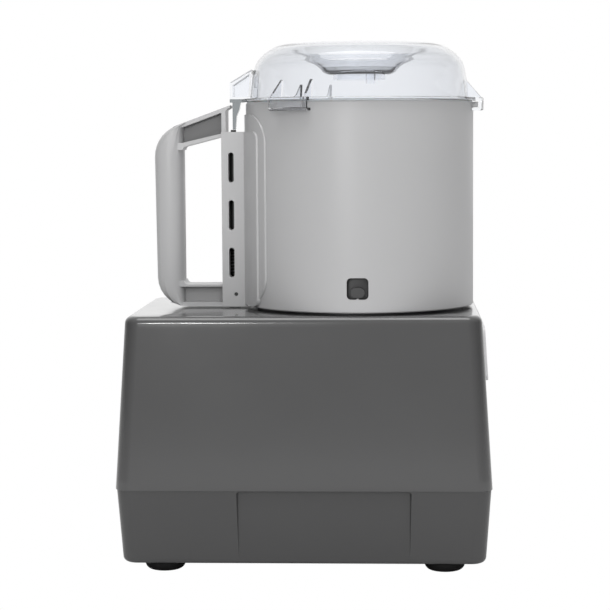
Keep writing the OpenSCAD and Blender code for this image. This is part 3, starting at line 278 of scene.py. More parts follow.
def group(name, inputs, outputs):
    """An empty shader node group with named float inputs (name: default) and float outputs."""
    tree = bpy.data.node_groups.new(name, "ShaderNodeTree")
    for label, value in inputs.items():
        socket = tree.interface.new_socket(label, in_out="INPUT", socket_type="NodeSocketFloat")
        socket.default_value = value
    for label in outputs:
        tree.interface.new_socket(label, in_out="OUTPUT", socket_type="NodeSocketFloat")
    return tree, new_node(tree, "NodeGroupInput"), new_node(tree, "NodeGroupOutput")


def noise(tree, scale, detail=2.0, rough=0.5, stretch=None):
    """A noise texture on Object coordinates, stretched by a Mapping node if asked."""
    place = new_node(tree, "ShaderNodeTexCoord")
    texture = new_node(tree, "ShaderNodeTexNoise", Detail=detail, Roughness=rough)
    if stretch:
        mapping = new_node(tree, "ShaderNodeMapping")
        mapping.inputs["Scale"].default_value = stretch
        chain(tree, (place, "Object", mapping, "Vector"), (mapping, 0, texture, "Vector"))
    else:
        chain(tree, (place, "Object", texture, "Vector"))
    if isinstance(scale, (int, float)):
        texture.inputs["Scale"].default_value = scale
    else:
        tree.links.new(scale, texture.inputs["Scale"])
    return texture


spark, spark_in, spark_out = group("spark_texture", {"Grain": 900.0}, ["Height"])
spark_noise = noise(spark, spark_in.outputs["Grain"], 3.0, 0.6)
chain(spark, (spark_noise, 0, spark_out, "Height"))

handling, handling_in, handling_out = group(
    "handling", {"Size": 14.0, "Low": 0.3, "High": 0.4}, ["Roughness"])
handling_noise = noise(handling, handling_in.outputs["Size"], 4.0, 0.6)
handling_range = new_node(handling, "ShaderNodeMapRange")
handling_range.inputs["From Min"].default_value = NOISE_LOW
handling_range.inputs["From Max"].default_value = NOISE_HIGH
chain(handling, (handling_noise, 0, handling_range, "Value"), (handling_in, "Low", handling_range, "To Min"),
      (handling_in, "High", handling_range, "To Max"), (handling_range, 0, handling_out, "Roughness"))

wear, wear_in, wear_out = group("edge_wear", {"Reach": 0.0015, "Amount": 0.5}, ["Mask"])
wear_bevel = new_node(wear, "ShaderNodeBevel", samples=4)
wear_geometry = new_node(wear, "ShaderNodeNewGeometry")
wear_dot = new_node(wear, "ShaderNodeVectorMath", operation="DOT_PRODUCT")
wear_turn = new_node(wear, "ShaderNodeMapRange")
wear_turn.inputs["From Min"].default_value = FLAT_TURN
wear_turn.inputs["From Max"].default_value = SHARP_TURN
wear_break = noise(wear, 160, 3.0, 0.6)
wear_spots = new_node(wear, "ShaderNodeMath", operation="MULTIPLY")
wear_amount = new_node(wear, "ShaderNodeMath", operation="MULTIPLY")
chain(wear, (wear_in, "Reach", wear_bevel, "Radius"), (wear_bevel, 0, wear_dot, 0),
      (wear_geometry, "Normal", wear_dot, 1), (wear_dot, "Value", wear_turn, "Value"),
      (wear_turn, 0, wear_spots, 0), (wear_break, 0, wear_spots, 1),
      (wear_spots, 0, wear_amount, 0), (wear_in, "Amount", wear_amount, 1), (wear_amount, 0, wear_out, "Mask"))
print("node groups", [g.name for g in bpy.data.node_groups])

# %% [markdown]
# A finish is then a short recipe: two close tones that a slow noise blends,
# a range of roughness, a grain with its depth, and how far the edges are
# polished. Everything that is the same all over goes straight on the shader.

# %% The recipe for an opaque finish
PATCH_SCALE = 14
HANDS_SCALE = PATCH_SCALE * 1.4
SECOND_SHARE, WORN_SHARE, WORN_LIFT, BLUE_SHARE = 0.94, 1.6, 0.02, 1.01


def place_group(tree, effect, **values):
    """One of the shared effects, placed in a material with its own values."""
    node = new_node(tree, "ShaderNodeGroup")
    node.node_tree = effect
    for label, value in values.items():
        node.inputs[label].default_value = value
    return node


def finish(name, tone, second=None, rough=(0.3, 0.4), grain=0.0, grain_scale=900, worn=0.0, metal=0.0,
           stretch=None, **shader):
    """An opaque material: tones, roughness range, grain depth in metres and edge wear on one shader."""
    look = bpy.data.materials.new(name)
    look.use_nodes = True
    tree = look.node_tree
    skin = tree.nodes["Principled BSDF"]
    skin.inputs["Metallic"].default_value = metal
    for label, value in shader.items():
        skin.inputs[label.replace("_", " ")].default_value = value
    second = second or tuple(c * SECOND_SHARE for c in tone)
    blend = new_node(tree, "ShaderNodeMix", data_type="RGBA")
    blend.inputs["A"].default_value = (*tone, 1)
    blend.inputs["B"].default_value = (*second, 1)
    slow = noise(tree, PATCH_SCALE, 3.0, 0.55, stretch)
    chain(tree, (slow, 0, blend, "Factor"))
    colour = blend
    if worn:
        edge = place_group(tree, wear, Amount=worn)
        polish = new_node(tree, "ShaderNodeMix", data_type="RGBA")
        polish.inputs["B"].default_value = (*(min(1, c * WORN_SHARE + WORN_LIFT) for c in tone), 1)
        chain(tree, (edge, "Mask", polish, "Factor"), (blend, "Result", polish, "A"))
        colour = polish
    chain(tree, (colour, "Result", skin, "Base Color"))
    hands = place_group(tree, handling, Low=rough[0], High=rough[1], Size=HANDS_SCALE)
    chain(tree, (hands, "Roughness", skin, "Roughness"))
    if grain:
        if stretch:
            fine = noise(tree, grain_scale, 2.0, 0.6, stretch)
            height = fine.outputs[0]
        else:
            fine = place_group(tree, spark, Grain=grain_scale)
            height = fine.outputs["Height"]
        bump = new_node(tree, "ShaderNodeBump", Strength=1.0, Distance=grain)
        tree.links.new(height, bump.inputs["Height"])
        chain(tree, (bump, 0, skin, "Normal"))
    return look


def grey(value):
    """A neutral tone with a trace of blue."""
    return (value, value, value * BLUE_SHARE)


print("opaque recipe ready, patches at scale", PATCH_SCALE)

# %% [markdown]
# The finishes of this machine, one line or two each: the moulded plastics and
# rubbers first, then the buttons, the metals and the electrical parts.

# %% The opaque finishes
LOOKS = {
    "shell": finish("shell_plastic", grey(0.068), grey(0.064), (0.17, 0.22), 0.000006, 1500, worn=0.2,
                    Coat_Weight=0.6, Coat_Roughness=0.09),
    "bowl": finish("bowl_plastic", grey(0.485), grey(0.47), (0.3, 0.38), 0.000012, 1500),
    "seat": finish("seat_plastic", grey(0.055), None, (0.32, 0.4), 0.00002, 1500),
    "panel": finish("panel_plastic", grey(0.8), None, (0.3, 0.36), 0.000015, 1300),
    "rubber": finish("foot_rubber", grey(0.003), grey(0.005), (0.6, 0.75), 0.00002, 1200,
                     Specular_IOR_Level=0.25),
    "black": finish("black_plastic", grey(0.014), grey(0.02), (0.3, 0.42), 0.00001, 1500),
    "white": finish("bearing_plastic", grey(0.75), None, (0.4, 0.5), 0.00001, 1500),
    "silicone": finish("seal_silicone", (0.62, 0.62, 0.6), None, (0.35, 0.45), 0.00001, 1500,
                       Subsurface_Weight=0.2),
    "green": finish("green_button", (0.02, 0.24, 0.06), None, (0.16, 0.22), 0.0, Coat_Weight=0.3),
    "red": finish("red_button", (0.42, 0.015, 0.012), None, (0.16, 0.22), 0.0, Coat_Weight=0.3),
    "dark": finish("dark_button", grey(0.03), None, (0.16, 0.22), 0.0, Coat_Weight=0.3),
    "steel": finish("blade_steel", grey(0.72), grey(0.66), (0.16, 0.28), 0.000004, 60, metal=1.0,
                    stretch=(1, 14, 14)),
    "shaft": finish("ground_shaft", grey(0.62), grey(0.55), (0.2, 0.3), 0.000004, 60, metal=1.0,
                    stretch=(1, 1, 20)),
    "zinc": finish("zinc_screw", (0.58, 0.58, 0.6), None, (0.28, 0.4), 0.00001, 800, metal=1.0),
    "spring": finish("spring_wire", grey(0.3), None, (0.3, 0.4), 0.0, metal=1.0),
    "casting": finish("cast_alloy", grey(0.5), grey(0.42), (0.4, 0.55), 0.00008, 600, metal=1.0),
    "lamination": finish("stator_steel", grey(0.22), grey(0.16), (0.4, 0.5), 0.00006, 60, metal=1.0,
                         stretch=(1, 1, 40)),
    "copper": finish("copper_wire", (0.52, 0.2, 0.08), (0.42, 0.14, 0.05), (0.25, 0.4), 0.0002, 300,
                     metal=0.8),
    "board": finish("circuit_board", (0.02, 0.13, 0.05), None, (0.3, 0.4), 0.00002, 500),
    "can": finish("capacitor_can", grey(0.6), None, (0.25, 0.35), 0.00001, 60, metal=1.0, stretch=(1, 20, 1)),
    "magnet": finish("magnet_nickel", grey(0.5), None, (0.2, 0.3), 0.0, metal=1.0),
}
print("finishes", len(LOOKS))

# %% [markdown]
# The lid is clear polycarbonate. It is a solid with two skins, so the light
# bends on the way in and again on the way out, and the wall's thickness shows
# as grey edges. Plain transmission does that. Its colour is a trace of blue
# grey, deeper where the wall is seen at a slant and the light's way is longer.
# The thick finger and the shelf above it get the same plastic in a darker tone.

# %% The clear finish
CLEAR_IOR = 1.5
CLEAR_RIM, RIM_BLEND = 0.78, 0.25
TINT_SCALE, RUB_SCALE = 8, 30


def clear_finish(name, pale, deep):
    """Clear plastic between two pale tones, deeper at a slant, with a little rub in its gloss."""
    look = bpy.data.materials.new(name)
    look.use_nodes = True
    tree = look.node_tree
    skin = tree.nodes["Principled BSDF"]
    skin.inputs["Transmission Weight"].default_value = 1.0
    skin.inputs["IOR"].default_value = CLEAR_IOR
    skin.inputs["Metallic"].default_value = 0.0
    tint = new_node(tree, "ShaderNodeMix", data_type="RGBA")
    tint.inputs["A"].default_value = (*pale, 1)
    tint.inputs["B"].default_value = (*deep, 1)
    rim = new_node(tree, "ShaderNodeLayerWeight", Blend=RIM_BLEND)
    slant = new_node(tree, "ShaderNodeMix", data_type="RGBA")
    slant.inputs["B"].default_value = (*(c * CLEAR_RIM for c in deep), 1)
    chain(tree, (noise(tree, TINT_SCALE, 2.0), 0, tint, "Factor"), (tint, "Result", slant, "A"),
          (rim, "Facing", slant, "Factor"), (slant, "Result", skin, "Base Color"))
    rub = place_group(tree, handling, Low=0.0, High=0.04, Size=RUB_SCALE)
    chain(tree, (rub, "Roughness", skin, "Roughness"))
    return look


LOOKS["clear"] = clear_finish("clear_polycarbonate", (0.95, 0.962, 0.985), (0.935, 0.948, 0.972))
LOOKS["smoky"] = clear_finish("thick_polycarbonate", (0.3, 0.32, 0.33), (0.26, 0.28, 0.29))
print("clear finishes, index", CLEAR_IOR)

# %% [markdown]
# The handle's arms are ribbed: a thin web between two flanges makes a deep
# pocket on each side. Little light gets in, so a pocket looks darker than its
# rims; here that shade is painted into the colour. A mask finds the web from
# its place and from the way it faces. The painted shade grows with height,
# towards the arm that the lid overhangs.

# %% The handle with its painted pocket shade, and the tray
WEB_DEEP, WEB_RIM = 0.008, 0.012
POCKET_LOW, POCKET_HIGH = 0.15, 0.33
# Painted shade: the colour that the pockets' faces are darkened towards.
POCKET_PAINTED_SHADE = (0.14, 0.14, 0.142, 1)
POCKET_FROM, POCKET_TO, POCKET_FADE = -0.0955, -0.06, 0.001
FACING_LOW, FACING_HIGH = 0.6, 0.9


def add_painted_pocket_shade(look, x_from, x_to):
    """Paints shade: darkens the colour of the deep faces across Y between two places in X, where little light
    gets in.
    """
    tree = look.node_tree
    skin = tree.nodes["Principled BSDF"]
    colour = skin.inputs["Base Color"].links[0].from_socket
    where, axes, facing = (new_node(tree, kind) for kind in
                           ("ShaderNodeTexCoord", "ShaderNodeSeparateXYZ", "ShaderNodeSeparateXYZ"))
    chain(tree, (where, "Object", axes, 0), (where, "Normal", facing, 0))
    parts = []
    for axis, near, far in (("X", x_from - POCKET_FADE, x_from), ("X", x_to, x_to - POCKET_FADE),
                            ("Y", -WEB_RIM, -WEB_DEEP), ("Y", WEB_RIM, WEB_DEEP),
                            ("Z", POCKET_LOW, POCKET_HIGH)):
        part = new_node(tree, "ShaderNodeMapRange")
        part.inputs["From Min"].default_value = near
        part.inputs["From Max"].default_value = far
        chain(tree, (axes, axis, part, "Value"))
        parts.append(part)
    flat = new_node(tree, "ShaderNodeMath", operation="ABSOLUTE")
    flat_range = new_node(tree, "ShaderNodeMapRange")
    flat_range.inputs["From Min"].default_value = FACING_LOW
    flat_range.inputs["From Max"].default_value = FACING_HIGH
    chain(tree, (facing, "Y", flat, 0), (flat, 0, flat_range, "Value"))
    mask = flat_range
    for part in parts:
        product = new_node(tree, "ShaderNodeMath", operation="MULTIPLY")
        chain(tree, (mask, 0, product, 0), (part, 0, product, 1))
        mask = product
    shade = new_node(tree, "ShaderNodeMix", data_type="RGBA")
    shade.inputs["B"].default_value = POCKET_PAINTED_SHADE
    tree.links.new(colour, shade.inputs["A"])
    chain(tree, (mask, 0, shade, "Factor"), (shade, "Result", skin, "Base Color"))


LOOKS["handle"] = finish("handle_plastic_and_painted_shade", grey(0.475), grey(0.46), (0.3, 0.38), 0.000012, 1500)
# Paints shade into the handle's pockets, on top of the plastic's own tones.
add_painted_pocket_shade(LOOKS["handle"], POCKET_FROM, POCKET_TO)
LOOKS["tray"] = finish("tray_plastic", grey(0.064), grey(0.06), (0.2, 0.26), 0.000006, 1500, worn=0.2)
print("handle and tray finishes")

# %% [markdown]
# Each CAD node now gets the finish of its own material: moulded plastics
# outside, cast, wound and drawn metals inside, where they show once the bowl
# and the covers come off.

# %% Give every CAD node its finish
NODE_LOOKS = {
    "base_housing": "shell", "base_tray": "tray", "rubber_feet": "rubber", "foot_screws": "zinc",
    "tray_screws": "zinc", "cord_bush": "rubber", "control_panel": "panel", "start_button": "green",
    "stop_button": "red", "pulse_button": "dark", "switch_block": "black", "power_board": "board",
    "start_capacitor": "can", "capacitor_clip": "zinc", "interlock_switch": "black", "bowl_seat": "seat",
    "seat_screws": "zinc", "shaft_seal": "rubber", "motor_top_bell": "casting",
    "motor_stator": "lamination", "motor_windings": "copper", "motor_bottom_bell": "casting",
    "motor_tie_bolts": "zinc", "shaft_bearings": "shaft", "motor_shaft": "shaft",
    "motor_rotor": "lamination", "cooling_fan": "black", "bowl": "bowl", "bowl_handle": "handle",
    "rod_bush": "white", "rod_pin": "black", "safety_rod": "black", "rod_magnet": "magnet",
    "rod_spring": "spring", "lid_seal": "silicone", "lid": "clear", "cutter_hub": "black",
    "lower_blade": "steel", "upper_blade": "steel", "cutter_cap": "black",
}
for node_name, look_name in NODE_LOOKS.items():
    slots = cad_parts[node_name].data.materials
    slots.clear()
    slots.append(LOOKS[look_name])
print("dressed nodes", len(NODE_LOOKS))

# %% [markdown]
# ## Smooth CAD pieces
#
# The CAD pieces arrive as flat facets wherever a form was lofted. Two modifiers
# mend the shading without touching their meshes: Weld joins the facets, and
# Edge Split keeps the edges that turn by more than a few degrees crisp.

# %% Smooth the CAD pieces with modifiers
SPLIT_DEG = 24
WELD_REACH = 0.000002
for node_name in ("base_tray", "bowl", "bowl_handle", "bowl_seat", "control_panel", "cutter_hub", "cutter_cap",
                  "motor_windings", "cord_bush"):
    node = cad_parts[node_name]
    weld = node.modifiers.new("weld", "WELD")
    weld.merge_threshold = WELD_REACH
    split_edges = node.modifiers.new("edges", "EDGE_SPLIT")
    split_edges.split_angle = math.radians(SPLIT_DEG)
    node.data.shade_smooth()
print("smoothed with modifiers, edges kept over", SPLIT_DEG, "degrees")

# %% [markdown]
# ## Skins drawn with arrays
#
# The pieces whose skin shows most are drawn again as grids of points: the rows
# are rings or sections and the columns go round them. A grid closes on itself
# both ways, or ends in flat caps or at two tips, so every skin is a closed
# solid. The sign of its volume tells which way its faces look, and they are
# turned outward. All lengths below are millimetres of the CAD model.

# %% Tools for skins


def closed_skin(grid, wrap=False, tips=(None, None)):
    """Points and outward faces of P(row, column): columns close; rows close too, or end in caps or tips."""
    rows, cols = grid.shape[:2]
    points = grid.reshape(-1, 3)
    j, i = np.meshgrid(np.arange(rows if wrap else rows - 1), np.arange(cols), indexing="ij")
    above, beside = (j + 1) % rows * cols, (i + 1) % cols
    quads = np.stack([j * cols + i, j * cols + beside, above + beside, above + i], axis=-1).reshape(-1, 4)
    p = points[quads]
    volume = (np.cross(p[:, 0], p[:, 1]) * p[:, 2]).sum() + (np.cross(p[:, 0], p[:, 2]) * p[:, 3]).sum()
    faces = quads.tolist()
    if not wrap:
        ring = np.arange(cols)
        for start, tip, order in ((0, tips[0], -1), ((rows - 1) * cols, tips[1], 1)):
            here, there = (ring + start, np.roll(ring, -1) + start)[::order]
            centre = points[ring + start].mean(axis=0) if tip is None else np.asarray(tip, float)
            volume += (np.cross(points[here], points[there]) * centre).sum()
            if tip is None:
                faces.append((ring[::order] + start).tolist())
            else:
                faces += np.stack([here, there, np.full(cols, len(points))], axis=-1).tolist()
                points = np.vstack([points, centre])
    return points, faces if volume > 0 else [face[::-1] for face in faces]


def assembled(name, parts, body, look, stands_for=(), smooth=35):
    """One object from several closed skins; it rides a body, takes a slot and stands for CAD nodes."""
    starts = np.cumsum([0] + [len(points) for points, faces in parts])
    faces = [[corner + int(start) for corner in face]
             for (points, part), start in zip(parts, starts) for face in part]
    thing = mesh_object(name, np.vstack([points for points, part in parts]) * MM, faces, smooth)
    thing.data.materials.append(LOOKS[look])
    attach(thing, body)
    if stands_for:
        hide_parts(*stands_for)
    print(name, len(thing.data.polygons), "faces")
    return thing


def rounded_ring(inset, r, z, per_corner=14, per_side=10):
    """Level ring: a rectangle of the base's size drawn in by inset, its corners arcs C + r (cos a, sin a)."""
    a = np.radians(np.linspace(0, 90, per_corner + 1)[None, :] + 90 * np.arange(4)[:, None])
    x = np.array([1, -1, -1, 1])[:, None] * (BASE_LEN / 2 - inset - r) + r * np.cos(a)
    y = np.array([1, 1, -1, -1])[:, None] * (BASE_WID / 2 - inset - r) + r * np.sin(a)
    t = np.arange(1, per_side)[None, :] / per_side
    x = np.concatenate([x, x[:, -1:] * (1 - t) + np.roll(x, -1, axis=0)[:, :1] * t], axis=1)
    y = np.concatenate([y, y[:, -1:] * (1 - t) + np.roll(y, -1, axis=0)[:, :1] * t], axis=1)
    return np.stack([x.ravel(), y.ravel(), np.full(x.size, z)], axis=-1)


def round_grid(profile, centre=(0, 0), columns=96):
    """P(row, a) = (cx + r cos a, cy + r sin a, z) for a profile of (r, z)."""
    a = np.linspace(0, 2 * np.pi, columns, endpoint=False)
    r, z = np.asarray(profile, float).T
    return np.stack([centre[0] + np.outer(r, np.cos(a)), centre[1] + np.outer(r, np.sin(a)),
                     np.repeat(z[:, None], columns, axis=1)], axis=-1)


def quarter(r_mid, z_mid, radius, start, end, steps=6):
    """Points of (r, z) on an arc about (r_mid, z_mid) between two angles in degrees."""
    a = np.radians(np.linspace(start, end, steps + 1))
    return np.stack([r_mid + radius * np.cos(a), z_mid + radius * np.sin(a)], axis=-1)


print("skin tools ready")

# %% [markdown]
# ## The base: shell, feet and buttons
#
# The upper shell is one moulding that leans in on all sides, with round
# corners, a soft upper edge and a round hole for the bowl's seat. Boxes with
# bevels could make it, but the lean and the round edge then meet badly at the
# corners. Here it is a stack of level rings: up the outside, over the edge,
# across the top to the hole, and down again on the inside.

# %% The upper shell of the base
BASE_LEN, BASE_WID = 280.0, 200.0
LIP_Z, TOP_Z = 62.8, 191.6
LEAN_DEG = 3.5
LEAN = math.tan(math.radians(LEAN_DEG))
WALL, CORNER, TOP_EDGE, LIP_EDGE = 3.5, 11.5, 5.0, 0.6
BOWL_X, SEAT_HOLE = 40.8, 58.0
WALL_ROWS_FROM, WALL_ROWS_TO, WALL_ROWS, INNER_EASE = 8, 4, 5, 2
EDGE_ROWS, LIP_ROWS = 9, 4


def shell_ring(z, inward=0.0, corner=CORNER):
    """The leaned wall's ring at a height: drawn in by (z - lip) tan(lean) and by inward."""
    return rounded_ring((z - LIP_Z) * LEAN + inward, corner, z)


def hole_ring(ring, z):
    """The ring's points drawn in to the seat hole, each along its own line to the bowl's axis."""
    out = ring[:, :2] - [BOWL_X, 0]
    out = out / np.linalg.norm(out, axis=1, keepdims=True) * SEAT_HOLE + [BOWL_X, 0]
    return np.column_stack([out, np.full(len(out), z)])


edge_turn = np.radians(np.linspace(0, 90, EDGE_ROWS))
lip_turn = np.radians(np.linspace(0, 90, LIP_ROWS))
rows = [shell_ring(LIP_Z + LIP_EDGE * (1 - np.sin(t)), LIP_EDGE * (1 - np.cos(t)))
        for t in lip_turn[::-1]]
wall_z = np.linspace(LIP_Z + WALL_ROWS_FROM, TOP_Z - TOP_EDGE - WALL_ROWS_TO, WALL_ROWS)
rows += [shell_ring(z) for z in wall_z]
rows += [shell_ring(TOP_Z - TOP_EDGE * (1 - np.sin(t)), TOP_EDGE * (1 - np.cos(t)),
                    CORNER - TOP_EDGE * (1 - np.cos(t)) / 2) for t in edge_turn]
rows += [hole_ring(rows[-1], TOP_Z), hole_ring(rows[-1], TOP_Z - WALL)]
rows += [shell_ring(TOP_Z - WALL, WALL + INNER_EASE / 2, CORNER - WALL),
         shell_ring(TOP_Z - WALL - INNER_EASE, WALL, CORNER - WALL), shell_ring(LIP_Z, WALL, CORNER - WALL)]
shell = closed_skin(np.array(rows), wrap=True)
assembled("base_shell", [shell], "base", "shell", ("base_housing",))

# %% [markdown]
# Each foot is a turned rubber puck with a rolled lower edge and a stepped hole
# for its screw. A profile carried round an axis is the shortest way to a
# turned piece, and it closes on itself without caps.

# %% Four rubber feet
FOOT_X, FOOT_Y, FOOT_R, TRAY_Z = 105.0, 75.0, 15.2, 7.4
SCREW_R, HEAD_R, HEAD_Z, FOOT_ROUND, EASE = 2.3, 4.0, 4.2, 5.5, 0.4
FOOT_COLUMNS = 72
foot_roll = quarter(FOOT_R - FOOT_ROUND, FOOT_ROUND, FOOT_ROUND, -90, 0, 8)
foot_top = [[FOOT_R, TRAY_Z - EASE], [FOOT_R - EASE, TRAY_Z], [SCREW_R, TRAY_Z]]
foot_profile = np.vstack([[[HEAD_R, 0]], foot_roll, foot_top, [[SCREW_R, HEAD_Z], [HEAD_R, HEAD_Z]]])
feet = [closed_skin(round_grid(foot_profile, (sx * FOOT_X, sy * FOOT_Y), FOOT_COLUMNS), wrap=True)
        for sx in (-1, 1) for sy in (-1, 1)]
assembled("feet_skin", feet, "base", "rubber", ("rubber_feet",))

# %% [markdown]
# The three push buttons are turned too: a shallow dish for the finger tip, an
# eased rim, a skirt and a thin stem. They are drawn about their own axis and
# then leaned back with the front face, so that they travel square to it. The
# dish is shallow enough to stay in front of the wall when a button is pressed.

# %% Three push buttons
PANEL_Z, PANEL_T = 162.0, 2.2
FRONT_X = BASE_LEN / 2 - (PANEL_Z - LIP_Z) * LEAN
BUTTON_R, BUTTON_PITCH, STEM_R, STEM_END = 9.7, 38.0, 3.0, -11.1
SKIRT_END, BUTTON_EASE, BUTTON_FACE = -1.5, 0.5, PANEL_T - 0.2
lean = math.radians(LEAN_DEG)
front_turn = np.array([[math.cos(lean), 0, -math.sin(lean)], [0, 1, 0],
                       [math.sin(lean), 0, math.cos(lean)]])
DISH_R, DISH_DEPTH, DISH_ROWS, BUTTON_COLUMNS = 8.4, 0.4, 8, 64
dish_r = np.linspace(DISH_R / DISH_ROWS, DISH_R, DISH_ROWS)
dish = np.stack([dish_r, BUTTON_FACE - DISH_DEPTH * (1 - (dish_r / DISH_R) ** 2)], axis=-1)
button_rim = quarter(BUTTON_R - BUTTON_EASE, BUTTON_FACE - BUTTON_EASE, BUTTON_EASE, 90, 0, 4)
button_stem = [[BUTTON_R, SKIRT_END], [STEM_R, SKIRT_END], [STEM_R, STEM_END]]
button_profile = np.vstack([dish, button_rim, button_stem])


def button_skin(place):
    """Revolved about the button's own axis, (r, x), then leaned back with the front face."""
    origin = [FRONT_X, place * BUTTON_PITCH, PANEL_Z]
    local = round_grid(button_profile, (0, 0), BUTTON_COLUMNS)[:, :, [2, 0, 1]]
    tips = np.array([[BUTTON_FACE - DISH_DEPTH, 0, 0], [STEM_END, 0, 0]]) @ front_turn.T + origin
    return closed_skin(local @ front_turn.T + origin, tips=list(tips))


BUTTONS = (("start_button", -1, "button_green", "green"), ("stop_button", 0, "button_red", "red"),
           ("pulse_button", 1, "button_dark", "dark"))
for button, place, paint, look in BUTTONS:
    assembled(button + "_skin", [button_skin(place)], button, look, (button,))

# %% [markdown]
# ## The clear lid
#
# The lid is the piece that the eye goes to. Its dome rises from the flange,
# turns over at the crown and runs down again into a shallow funnel. Facets
# would show as stripes in clear plastic, so the outer skin is a smooth curve
# through a few chosen shares of the dome's radius and height. The inner skin
# is the same curve moved in by the wall, square to it at every point, because
# a wall of one thickness is what makes clear moulded plastic look real.

# %% The lid: a turned dome with a funnel in its crown
BOWL_R, RIM_Z = 87.9, 349.5
LID_Z, LID_TOP, LID_WALL = RIM_Z + 0.4, RIM_Z + 3.0, 2.6
DOME_R, DOME_H, FLANGE_R, HOOK_R = 84.3, 42.2, 90.7, 96.0
SEAL_R, SEAL_T, SPIGOT_R, SPIGOT_DROP = 87.0, 1.4, 84.2, 6.0
POLE_R, CURVE_STEPS, DOME_COLUMNS = 1, 6, 160
DOME_SHARES = np.array([[1, 0], [0.983, 0.346], [0.97, 0.49], [0.954, 0.618], [0.925, 0.711],
                        [0.884, 0.803], [0.823, 0.893], [0.76, 0.952], [0.67, 0.992], [0.6, 0.985],
                        [0.53, 0.925], [0.46, 0.8], [0.365, 0.64], [0.33, 0.57], [0.29, 0.515],
                        [0.23, 0.5], [0, 0.5]])


def flowing(points, steps):
    """Catmull-Rom curve: half of 2b + (c-a)t + (2a-5b+4c-d)tt + (3b-a-3c+d)ttt on each stretch b to c."""
    p = np.vstack([points[:1], points, points[-1:]])
    t = (np.arange(steps) / steps)[None, :, None]
    a, b, c, d = (p[k:len(p) - 3 + k, None, :] for k in range(4))
    curve = 0.5 * (2 * b + (c - a) * t + (2 * a - 5 * b + 4 * c - d) * t ** 2
                   + (3 * b - a - 3 * c + d) * t ** 3)
    return np.vstack([curve.reshape(-1, 2), points[-1:]])


outer = flowing(DOME_SHARES * [DOME_R, DOME_H] + [0, LID_TOP], CURVE_STEPS)
along = np.gradient(outer, axis=0)
along /= np.linalg.norm(along, axis=1, keepdims=True)
inner = outer + LID_WALL * np.stack([-along[:, 1], along[:, 0]], axis=-1)
funnel_z = LID_TOP + DOME_H * DOME_SHARES[-1, 1]
inner = inner[(inner[:, 0] > POLE_R) & (inner[:, 0] < DOME_R)]
flange = [[FLANGE_R - EASE, LID_TOP], [FLANGE_R, LID_TOP - EASE], [FLANGE_R, LID_Z + EASE],
          [FLANGE_R - EASE, LID_Z], [SEAL_R, LID_Z], [SEAL_R, LID_Z + SEAL_T], [SPIGOT_R, LID_Z + SEAL_T],
          [SPIGOT_R, LID_Z - SPIGOT_DROP], [DOME_R - LID_WALL, LID_Z - SPIGOT_DROP]]
lid_profile = np.vstack([outer[outer[:, 0] > POLE_R][::-1], flange, inner])
dome = closed_skin(round_grid(lid_profile, (BOWL_X, 0), DOME_COLUMNS),
                   tips=([BOWL_X, 0, funnel_z], [BOWL_X, 0, funnel_z - LID_WALL]))
print("lid profile", lid_profile.shape)

# %% [markdown]
# Three hooks reach over the bowl's rim and under its lugs, which is what holds
# the lid once it is turned. Each is a C-shaped section carried round the bowl's
# axis, with a thin gusset at each end that props it against the dome. A hair
# of air, CLEAR, parts the skins that touch, so that light meets one surface
# at a time.

# %% The lid's hooks and gussets
HOOK_MIDS, HOOK_DEG, HOOK_Z = (-3, 117, 237), 20.6, LID_Z - 7.4
HOOK_EASE, HOOK_WALL, LEDGE_T = 0.5, 2.1, 2.0
LEDGE_GAP, LEDGE_EASE = 0.4, 0.4
GUSSET_H, GUSSET_T, GUSSET_BACK = 13.0, 2.0, 1.0
GUSSET_FOOT, GUSSET_TIP, GUSSET_IN_DEG = 0.1, (0.4, 0.9), 1
CLEAR = 0.03


def arc_block(section, mid, wide, steps=14):
    """A section of (r, z) carried round by wide degrees about mid: P(a, k) = (r cos a, r sin a, z)."""
    a = np.radians(np.linspace(mid - wide / 2, mid + wide / 2, steps + 1))
    r, z = np.asarray(section, float).T
    return closed_skin(np.stack([BOWL_X + np.outer(np.cos(a), r), np.outer(np.sin(a), r),
                                 np.repeat(z[None, :], len(a), axis=0)], axis=-1))


def plate(section, thick, turn_deg):
    """A flat section of (r, z) with a thickness, turned about the bowl's axis."""
    r, z = np.asarray(section, float).T
    side = np.array([-thick / 2, thick / 2])[:, None]
    c, s = math.cos(math.radians(turn_deg)), math.sin(math.radians(turn_deg))
    return closed_skin(np.stack([BOWL_X + c * r - s * side, s * r + c * side, z + 0 * side], axis=-1))


hook_in = FLANGE_R + CLEAR
hook_section = [[hook_in, LID_TOP], [HOOK_R - HOOK_EASE, LID_TOP], [HOOK_R, LID_TOP - HOOK_EASE],
                [HOOK_R, HOOK_Z + 3 * HOOK_EASE], [HOOK_R - HOOK_EASE, HOOK_Z + HOOK_EASE],
                [HOOK_R - 3 * HOOK_EASE, HOOK_Z], [BOWL_R + LEDGE_GAP + LEDGE_EASE, HOOK_Z],
                [BOWL_R + LEDGE_GAP, HOOK_Z + LEDGE_EASE], [BOWL_R + LEDGE_GAP, HOOK_Z + LEDGE_T],
                [HOOK_R - HOOK_WALL - HOOK_EASE, HOOK_Z + LEDGE_T],
                [HOOK_R - HOOK_WALL, HOOK_Z + LEDGE_T + HOOK_EASE], [HOOK_R - HOOK_WALL, LID_Z],
                [hook_in, LID_Z]]
above = LID_TOP + CLEAR
gusset_section = [[DOME_R + GUSSET_FOOT, above], [HOOK_R - GUSSET_BACK, above],
                  [HOOK_R - GUSSET_BACK, above + HOOK_EASE], [DOME_R - GUSSET_TIP[0], above + GUSSET_H],
                  [DOME_R - GUSSET_TIP[1], above + GUSSET_H]]
pieces = [dome] + [arc_block(hook_section, mid, HOOK_DEG) for mid in HOOK_MIDS]
gusset_turns = [mid + way * (HOOK_DEG / 2 - GUSSET_IN_DEG) for mid in HOOK_MIDS for way in (-1, 1)]
pieces += [plate(gusset_section, GUSSET_T, turn) for turn in gusset_turns]
print("hooks at", HOOK_MIDS, "degrees")

